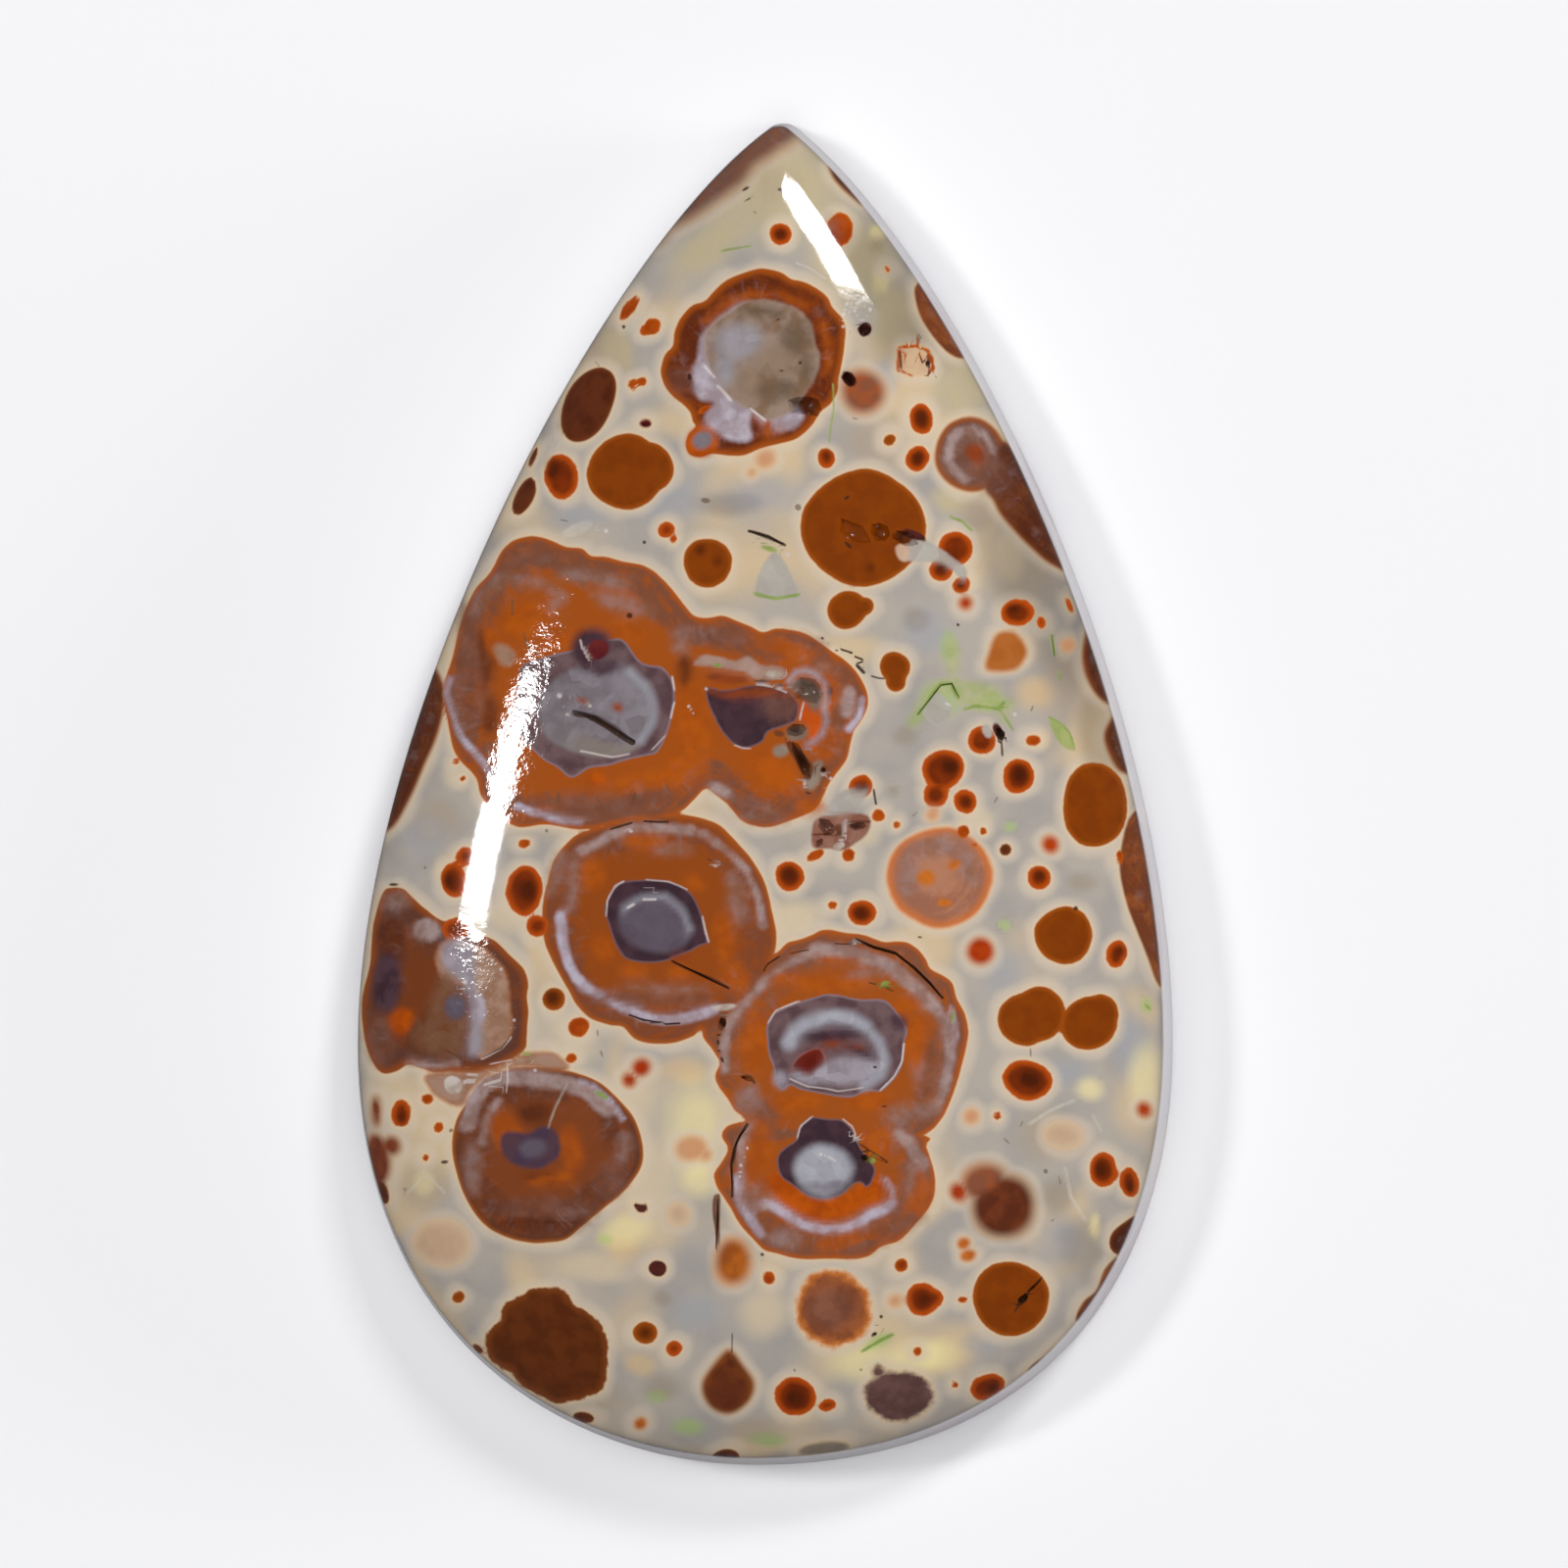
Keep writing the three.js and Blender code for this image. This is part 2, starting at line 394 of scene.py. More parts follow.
def growStone(material):
    inputs = {
        "Thickness": stone["thickness"],
        "Half width": stone["width"] / 2,
        "Widest level": stone["widestLevel"],
        "Wall height": stone["wallHeight"],
        "Wall lean": stone["wallLean"],
        "Foot bevel": stone["footBevel"],
        "Shoulder power": stone["shoulderPower"],
        "Ridge fade": stone["ridgeFade"],
        "Upper reach": stone["upperReach"],
        "Lower reach": stone["lowerReach"],
        "Cap reach": stone["capReach"],
        "Rows": stone["rows"],
        "Columns": stone["columns"],
        "Back columns": stone["backColumns"],
        "Shoulder rings": stone["shoulderRings"],
        "Wall rings": stone["wallRings"],
        "Foot rings": stone["footRings"],
        "Material": material,
    }
    outline = outlineCurve()
    modifier = outline.modifiers.new("stone", "NODES")
    modifier.node_group = StoneTree(inputs).build()
    setInputs(modifier, inputs)
    evaluated = outline.evaluated_get(bpy.context.evaluated_depsgraph_get())
    mesh = bpy.data.meshes.new_from_object(evaluated)
    mesh.name = "stone"
    onlyMaterial(mesh, material)
    bpy.data.objects.remove(outline)
    piece = bpy.data.objects.new("stone", mesh)
    bpy.context.scene.collection.objects.link(piece)
    return piece


# The stone's colours as they look in plain light, 0 to 255. A finish has a main colour, the colour that
# clouds it, how soft and how ragged its edge is (mm), the colour, strength and width (mm) of its rim,
# its cover and its roughness.
def finish(main, cloud, soft=0.035, ragged=0.005, rim=((186, 84, 10), 0.0, 0.1), cover=1.0, rough=0.06):
    rimColour, rimShare, rimWidth = rim
    return {"main": main, "cloud": cloud, "soft": soft, "ragged": ragged, "rim": rimColour,
            "rimShare": rimShare, "rimWidth": rimWidth, "cover": cover, "rough": rough}


finishes = {
    # the orbs' bodies
    "rustOrb": finish((124, 54, 12), (92, 38, 14), ragged=0.025, rim=((164, 78, 16), 0.85, 0.32)),
    "mottledOrb": finish((158, 76, 18), (122, 72, 50), ragged=0.025, rim=((172, 80, 14), 0.8, 0.2)),
    "ringOrb": finish((142, 68, 18), (122, 66, 40), ragged=0.02, rim=((166, 82, 20), 0.75, 0.22)),
    "pairOrb": finish((154, 76, 22), (124, 74, 52), ragged=0.03, rim=((172, 82, 18), 0.85, 0.22)),
    "brownOrb": finish((122, 62, 30), (98, 54, 36), ragged=0.015, rim=((160, 84, 26), 0.75, 0.16)),
    "leftOrb": finish((112, 56, 26), (92, 54, 42), ragged=0.02, rim=((150, 72, 18), 0.8, 0.34)),
    "fadedOrb": finish((172, 118, 90), (150, 98, 76), soft=0.1, ragged=0.06, rim=((206, 112, 48), 0.8, 0.4)),
    "mauveOrb": finish((96, 66, 60), (112, 74, 58), soft=0.08, ragged=0.02, rim=((150, 76, 28), 0.9, 0.3)),
    "tipOrb": finish((96, 72, 66), (118, 78, 62), soft=0.4, ragged=0.05),
    "umber": finish((104, 54, 28), (80, 36, 16), soft=0.1, rim=((140, 72, 30), 0.5, 0.22)),
    "deepBrown": finish((92, 42, 18), (78, 34, 18), soft=0.28, ragged=0.12, cover=0.8),
    "greenGlow": finish((150, 162, 96), (172, 172, 124), soft=0.22, ragged=0.12, cover=0.8),
    "rustEdge": finish((146, 78, 34), (110, 56, 30), soft=0.06, ragged=0.02),
    # single spots
    "ochre": finish((130, 58, 2), (120, 52, 2), ragged=0.03, rim=((158, 76, 10), 0.75, 0.2)),
    "rust": finish((122, 44, 2), (104, 36, 2), ragged=0.055, rim=((182, 74, 8), 0.9, 0.28)),
    "chestnut": finish((92, 42, 18), (74, 30, 10), soft=0.04, rim=((116, 56, 18), 0.6, 0.18)),
    "darkSpot": finish((84, 38, 10), (98, 46, 14), soft=0.05, ragged=0.1, rim=((128, 64, 20), 0.7, 0.3)),
    "orange": finish((168, 70, 6), (146, 54, 2), ragged=0.05, rim=((192, 92, 16), 0.4, 0.1)),
    "amber": finish((198, 112, 40), (178, 92, 26), soft=0.12),
    "tan": finish((163, 90, 34), (170, 98, 42), soft=0.14, ragged=0.03),
    "blurRed": finish((170, 58, 8), (156, 48, 4), soft=0.18),
    "blurBrown": finish((106, 50, 26), (88, 40, 20), soft=0.3),
    "faintOrange": finish((192, 116, 62), (186, 120, 76), soft=0.2, cover=0.7),
    "ghost": finish((176, 140, 116), (168, 130, 104), soft=0.4, cover=0.6),
    "raggedBrown": finish((150, 84, 48), (122, 66, 40), soft=0.12, ragged=0.2,
        rim=((206, 118, 46), 0.8, 0.3)),
    "raggedMauve": finish((104, 74, 70), (88, 60, 56), soft=0.12, ragged=0.14),
    "peachGlass": finish((200, 168, 132), (188, 150, 122), soft=0.1, ragged=0.02, cover=0.8),
    "maroon": finish((80, 34, 28), (56, 22, 18), soft=0.04, ragged=0.03),
    # rings, veils and glass in the orbs
    "lavender": finish((184, 178, 194), (158, 140, 148), soft=0.09, ragged=0.05, cover=0.9),
    "dimLavender": finish((166, 146, 143), (140, 112, 104), soft=0.12, ragged=0.1, cover=0.85),
    "lilac": finish((148, 122, 118), (134, 96, 78), soft=0.25, ragged=0.16, cover=0.6),
    "brightOrange": finish((178, 84, 8), (160, 72, 10), soft=0.25, ragged=0.16, cover=0.7),
    "glowOrange": finish((182, 80, 4), (160, 66, 2), soft=0.16, ragged=0.07),
    "mauveCloud": finish((122, 84, 72), (104, 66, 52), soft=0.3, ragged=0.2, cover=0.6),
    "purple": finish((70, 47, 55), (56, 38, 46), soft=0.05, ragged=0.02, rim=((140, 116, 124), 0.4, 0.08)),
    "plum": finish((60, 38, 46), (78, 54, 62), soft=0.22, ragged=0.03),
    "greyGlass": finish((104, 92, 96), (134, 128, 134), soft=0.12, ragged=0.03),
    "blueGlass": finish((84, 72, 82), (94, 84, 96), soft=0.16, ragged=0.03),
    "brownGlass": finish((124, 92, 72), (112, 66, 38), soft=0.3, ragged=0.05, cover=0.85),
    # painted highlight: the pale glass of the cores, drawn where the lenses catch the light
    "paleGlassHighlight": finish((168, 168, 176), (146, 144, 154), soft=0.2, ragged=0.03),
    "taupe": finish((134, 112, 98), (112, 90, 78), soft=0.08, ragged=0.04),
    "mauveGlass": finish((84, 60, 64), (108, 84, 86), ragged=0.02, rim=((150, 134, 146), 0.5, 0.1)),
    "crystalTan": finish((150, 128, 110), (124, 98, 78), soft=0.35, ragged=0.08, cover=0.8, rough=0.2),
    "crystalDark": finish((100, 80, 60), (84, 66, 50), soft=0.35, ragged=0.1, cover=0.75, rough=0.2),
    "lavenderGlass": finish((160, 154, 162), (136, 124, 132), soft=0.2, ragged=0.05),
    "greyTan": finish((142, 128, 112), (128, 112, 98), soft=0.1, ragged=0.03),
    "rustGlass": finish((146, 62, 18), (116, 54, 30), soft=0.16, ragged=0.04),
    "orangeChip": finish((196, 82, 16), (180, 72, 10), soft=0.04),
    "garnet": finish((110, 28, 12), (80, 20, 10), soft=0.05, rim=((190, 120, 110), 0.5, 0.06)),
    "darkHeart": finish((50, 16, 2), (78, 28, 4), soft=0.18, ragged=0.05, cover=0.8),
    "amberBlur": finish((172, 92, 26), (146, 74, 24), soft=0.3),
    "teardrop": finish((112, 54, 20), (86, 40, 20), soft=0.14, rim=((150, 84, 34), 0.5, 0.3)),
    "emberBlur": finish((150, 78, 42), (130, 76, 54), soft=0.3),
    "rustBlur": finish((126, 60, 34), (106, 50, 30), soft=0.2),
    "softPurple": finish((82, 56, 64), (70, 52, 70), soft=0.1, ragged=0.05),
    "redBead": finish((104, 34, 34), (84, 22, 28), soft=0.06),
    "crystal": finish((126, 98, 76), (148, 126, 110), soft=0.1, ragged=0.05, rim=((170, 150, 144), 0.35, 0.1),
        rough=0.14),
    "crystalBlue": finish((136, 130, 134), (158, 150, 154), soft=0.35, ragged=0.1, rough=0.14),
    "agate": finish((178, 168, 178), (150, 134, 140), soft=0.12, ragged=0.07),
    "tanGlass": finish((140, 100, 76), (160, 126, 106), soft=0.1, ragged=0.06, rim=((166, 94, 46), 0.5, 0.16),
        rough=0.12),
    # ground and small marks
    "greyPatch": finish((172, 168, 160), (160, 152, 144), soft=0.06, ragged=0.03, cover=0.9),
    "pinkGrey": finish((172, 150, 140), (148, 122, 108), soft=0.08, ragged=0.05, cover=0.85),
    "creamPatch": finish((198, 166, 142), (186, 150, 126), soft=0.06, ragged=0.03),
    "whiteVein": finish((210, 202, 188), (194, 186, 172), soft=0.06, ragged=0.03, cover=0.45),
    "green": finish((118, 140, 62), (140, 158, 84), soft=0.04, ragged=0.03, cover=0.9),
    "greenPod": finish((158, 168, 96), (134, 152, 78), soft=0.06, ragged=0.02, cover=0.85),
    "crack": finish((62, 38, 22), (44, 26, 14), soft=0.02, ragged=0.01, cover=0.88),
    "hairline": finish((104, 80, 58), (86, 62, 42), soft=0.03, ragged=0.01, cover=0.7),
    "glint": finish((216, 206, 202), (196, 182, 180), soft=0.03, ragged=0.01, cover=0.7),
    "pitBrown": finish((74, 40, 22), (104, 58, 34), soft=0.04, ragged=0.015, cover=0.9),
    "glassRed": finish((120, 68, 52), (150, 110, 94), soft=0.06, ragged=0.02, rough=0.12),
    "chip": finish((196, 184, 176), (160, 140, 124), soft=0.04, ragged=0.02),
}


# Marks are laid out in mm, as seen from the camera on the plane of the stone's back.
# (x, y, r) is a dot and (x, y, long, short, turn) an oval, where the turn may be left out.
# Lines and patches are named: a line starts with half its width, and their points are x,y pairs.
def line(halfWidth, *route):
    return {"form": "line", "halfWidth": halfWidth, "route": np.array(route, float).reshape(-1, 2)}


def patch(*route):
    return {"form": "patch", "halfWidth": 0.0, "route": np.array(route, float).reshape(-1, 2)}


# the layers, from the lowest up; first the big orbs, also those that the edge cuts off
bodies = {
    "rustOrb": [
        patch(-0.3,16.88, -1.1,16.55, -1.6,16.15, -1.95,15.8, -2.4,15.65, -2.75,15.25, -2.9,14.8, -2.95,14.35,
        -3.2,14.1, -3.38,13.6, -3.3,13.15, -3.05,12.8, -2.7,12.55, -2.45,12.3, -2.35,12, -2.25,11.8,
        -2.45,11.55, -2.52,11.2, -2.4,10.9, -2.05,10.78, -1.7,10.88, -1.3,10.85, -0.7,10.88, -0.2,11.1,
        0.3,11.2, 0.9,11.3, 1.3,11.55, 1.6,11.85, 1.8,12.2, 2.1,12.5, 2.3,12.9, 2.35,13.3, 2.5,13.8, 2.6,14.4,
        2.6,14.9, 2.45,15.25, 2.15,15.6, 1.95,16, 1.5,16.3, 1.1,16.42, 0.8,16.48, 0.5,16.7, 0.1,16.85)],
    "mottledOrb": [
        patch(-8.9,7.1, -8.55,7.7, -8.2,8.05, -7.9,8.2, -7.4,8.3, -6.9,8.2, -6.4,7.95, -5.9,7.85, -5.6,7.62,
        -5.1,7.62, -4.6,7.5, -4,7.35, -3.6,7.1, -3.2,6.75, -2.85,6.4, -2.6,6.1, -2.3,5.75, -1.9,5.62,
        -1.4,5.68, -0.95,5.55, -0.5,5.4, -0.1,5.2, 0.3,5.28, 0.8,5.22, 1.3,5.1, 1.7,4.9, 2.1,4.6, 2.5,4.3,
        2.8,4, 3.05,3.65, 3.25,3.2, 3.28,2.8, 3.15,2.4, 2.9,2, 2.75,1.6, 2.6,1.1, 2.3,0.7, 2.05,0.3, 1.9,-0.1,
        1.65,-0.5, 1.2,-0.75, 0.7,-0.95, 0.1,-1.1, -0.4,-1, -0.8,-0.8, -1.2,-0.4, -1.65,-0.05, -1.95,0.15,
        -2.25,-0.15, -2.6,-0.5, -3.2,-0.75, -4.2,-0.85, -5,-1, -6,-1.1, -7,-1, -7.9,-1.05, -8.6,-0.6,
        -9.1,-0.1, -9.3,0.5, -9.8,1.1, -10.1,1.6, -10.3,2.6, -10.35,3.3, -10.2,3.9, -10.05,4.6, -9.9,5.3,
        -9.6,6, -9.3,6.6)],
    "ringOrb": [
        patch(-5.9,-1.2, -5,-0.95, -4,-0.78, -3.2,-0.62, -2.6,-0.65, -1.9,-0.85, -1.4,-1.05, -0.9,-1.5,
        -0.4,-2.1, 0,-2.9, 0.2,-3.8, 0.37,-4.6, 0.3,-5.2, 0,-6, -0.8,-7.2, -1.7,-7.9, -2.05,-7.6, -2.3,-7.8,
        -2.9,-8, -3.5,-8, -4.2,-7.85, -4.6,-7.5, -5,-7.45, -5.6,-7.2, -6.1,-6.7, -6.35,-6.3, -6.6,-5.9,
        -6.9,-5.3, -7.1,-4.6, -7.15,-3.5, -7.05,-2.8, -6.8,-2.1, -6.3,-1.5)],
    "pairOrb": [
        patch(0.45,-5.05, 0.7,-4.78, 1.1,-4.7, 1.5,-4.55, 1.9,-4.4, 2.6,-4.45, 3.1,-4.5, 3.5,-4.65, 3.9,-4.8,
        4.5,-4.8, 4.9,-4.95, 5.2,-5.3, 5.35,-5.6, 5.8,-5.9, 6.05,-6.15, 6.15,-6.6, 6.4,-7.1, 6.5,-7.7,
        6.4,-8.5, 6.2,-9.2, 5.9,-9.9, 5.6,-10.5, 5.1,-10.95, 3,-12, 0,-11.5, -0.6,-10.5, -0.95,-10.2,
        -1.2,-9.8, -1.5,-9.4, -1.65,-9, -1.5,-8.6, -1.7,-8.2, -2,-7.8, -1.9,-7.3, -1.4,-6.95, -1,-6.7,
        -0.6,-6.2, -0.2,-5.7, 0.1,-5.3),
        patch(5.1,-10.9, 5.2,-11.25, 5.33,-11.7, 5.45,-12.3, 5.4,-12.9, 5.2,-13.4, 4.8,-13.9, 4.3,-14.35,
        3.7,-14.5, 3.2,-14.85, 2.4,-14.95, 1.4,-14.92, 0.5,-14.75, 0,-14.65, -0.4,-14.25, -0.8,-13.75,
        -1.05,-13.3, -1.3,-12.95, -1.55,-12.6, -1.65,-12.2, -1.4,-11.8, -1.2,-11.4, -1.38,-11.05,
        -1.25,-10.75, -0.9,-10.6, -0.5,-10.5, 2,-10)],
    "brownOrb": [
        patch(-7.4,-8.75, -6.6,-8.8, -6,-9, -5.3,-9.3, -4.8,-9.7, -4.3,-10.3, -4.05,-10.9, -3.9,-11.5,
        -3.95,-12, -4.3,-12.5, -4.7,-12.9, -5.3,-13.4, -5.9,-13.9, -6.4,-14.25, -7,-14.35, -7.6,-14.4,
        -8.2,-14.3, -8.9,-13.9, -9.4,-13.4, -9.75,-12.8, -9.95,-12, -10.05,-11.2, -9.95,-10.4, -9.6,-9.8,
        -9.3,-9.4, -8.9,-9.1, -8.2,-8.85)],
    "leftOrb": [
        patch(-12.35,-3.15, -12.1,-2.95, -11.7,-3, -11.4,-3.3, -11.1,-3.6, -10.7,-3.9, -10.35,-4.05,
        -10.1,-3.95, -9.85,-3.87, -9.55,-4, -9.4,-4.4, -9.1,-4.55, -8.7,-4.75, -8.3,-5.1, -8,-5.35,
        -7.75,-5.65, -7.62,-6.1, -7.65,-6.5, -7.58,-7, -7.65,-7.5, -7.7,-7.9, -7.75,-8.2, -8.1,-8.5,
        -8.6,-8.75, -9.3,-8.9, -10,-8.85, -10.6,-8.95, -11.1,-8.8, -11.5,-8.65, -11.9,-8.85, -12.3,-8.92,
        -12.6,-8.7, -12.85,-8.2, -12.95,-7.5, -12.95,-6.5, -12.75,-5.3, -12.6,-4.2)],
    "fadedOrb": [(5.6, -2.72, 1.72, 1.58)],
    "mauveOrb": [(6.6, 10.85, 1.18)],
    "tipOrb": [
        patch(1,20.95, 0.2,20.4, -0.3,20.1, -0.7,19.5, -1.5,19, -2.2,18.55, -3,18.1, -3.4,17.7, -4.4,17.6,
        -3.4,19.6, -1,21.6, 0.6,22.2, 1.4,21.5)],
    "tanGlass": [
        patch(-10.9,-9, -10.85,-9.5, -10.4,-9.8, -9.8,-9.95, -9.4,-9.4, -8.6,-8.9, -7.6,-8.75, -6.4,-8.8,
        -6.5,-8.5, -6.9,-8.25, -7.6,-8.3, -8.6,-8.7, -9.4,-8.85)],
    "umber": [
        patch(7,10, 7.3,9.4, 7.6,8.85, 8.1,8.3, 8.6,7.85, 9.2,7.3, 9.8,7.1, 9.6,8.5, 8.8,9.9, 8.1,11,
        7.5,11.3),
        patch(-10.3,3.4, -10.55,2, -10.9,1, -11.5,-0.2, -12,-1.1, -12.7,-1.2, -12.4,0.5, -11.6,2.4,
        -10.9,4.2),
        patch(10.3,5.3, 10.2,4.7, 10.25,4, 10.5,3.3, 10.85,2.9, 11.2,2.9, 11.2,3.8, 10.8,5, 10.5,5.6),
        patch(11,2.25, 10.85,1.8, 11.05,1.2, 11.4,0.65, 11.8,0.6, 11.7,1.5, 11.3,2.5),
        patch(2.1,20.25, 2.15,19.8, 2.4,19.45, 2.75,19.15, 3.15,18.9, 3.5,19.1, 2.8,20.1)],
    "chestnut": [
        patch(11.95,-13.5, 11.55,-13.7, 11.15,-14.1, 11.1,-14.55, 11.4,-14.75, 11.9,-14.4, 12.4,-13.8),
        patch(9.9,-17.4, 9.3,-17.7, 8.8,-18.2, 8.6,-18.6, 9.2,-18.8, 10.2,-18)],
    "rustEdge": [
        patch(11.6,-1, 11.4,-2, 11.5,-3, 11.8,-4.2, 12.3,-5.4, 12.7,-6.2, 13.2,-6.2, 13.1,-4, 12.6,-1.8,
        12.1,-0.6),
        patch(4.9,16.35, 4.86,15.9, 5,15.3, 5.25,14.8, 5.6,14.35, 6,14.05, 6.4,13.95, 7.4,13.9, 6.6,15.6,
        5.5,16.9),
        patch(11.3,-14.85, 10.85,-15.3, 10.6,-15.9, 10.2,-16.3, 10,-16.9, 10.4,-17.1, 11.2,-16.2, 11.9,-15.1,
        11.6,-14.8)],
}

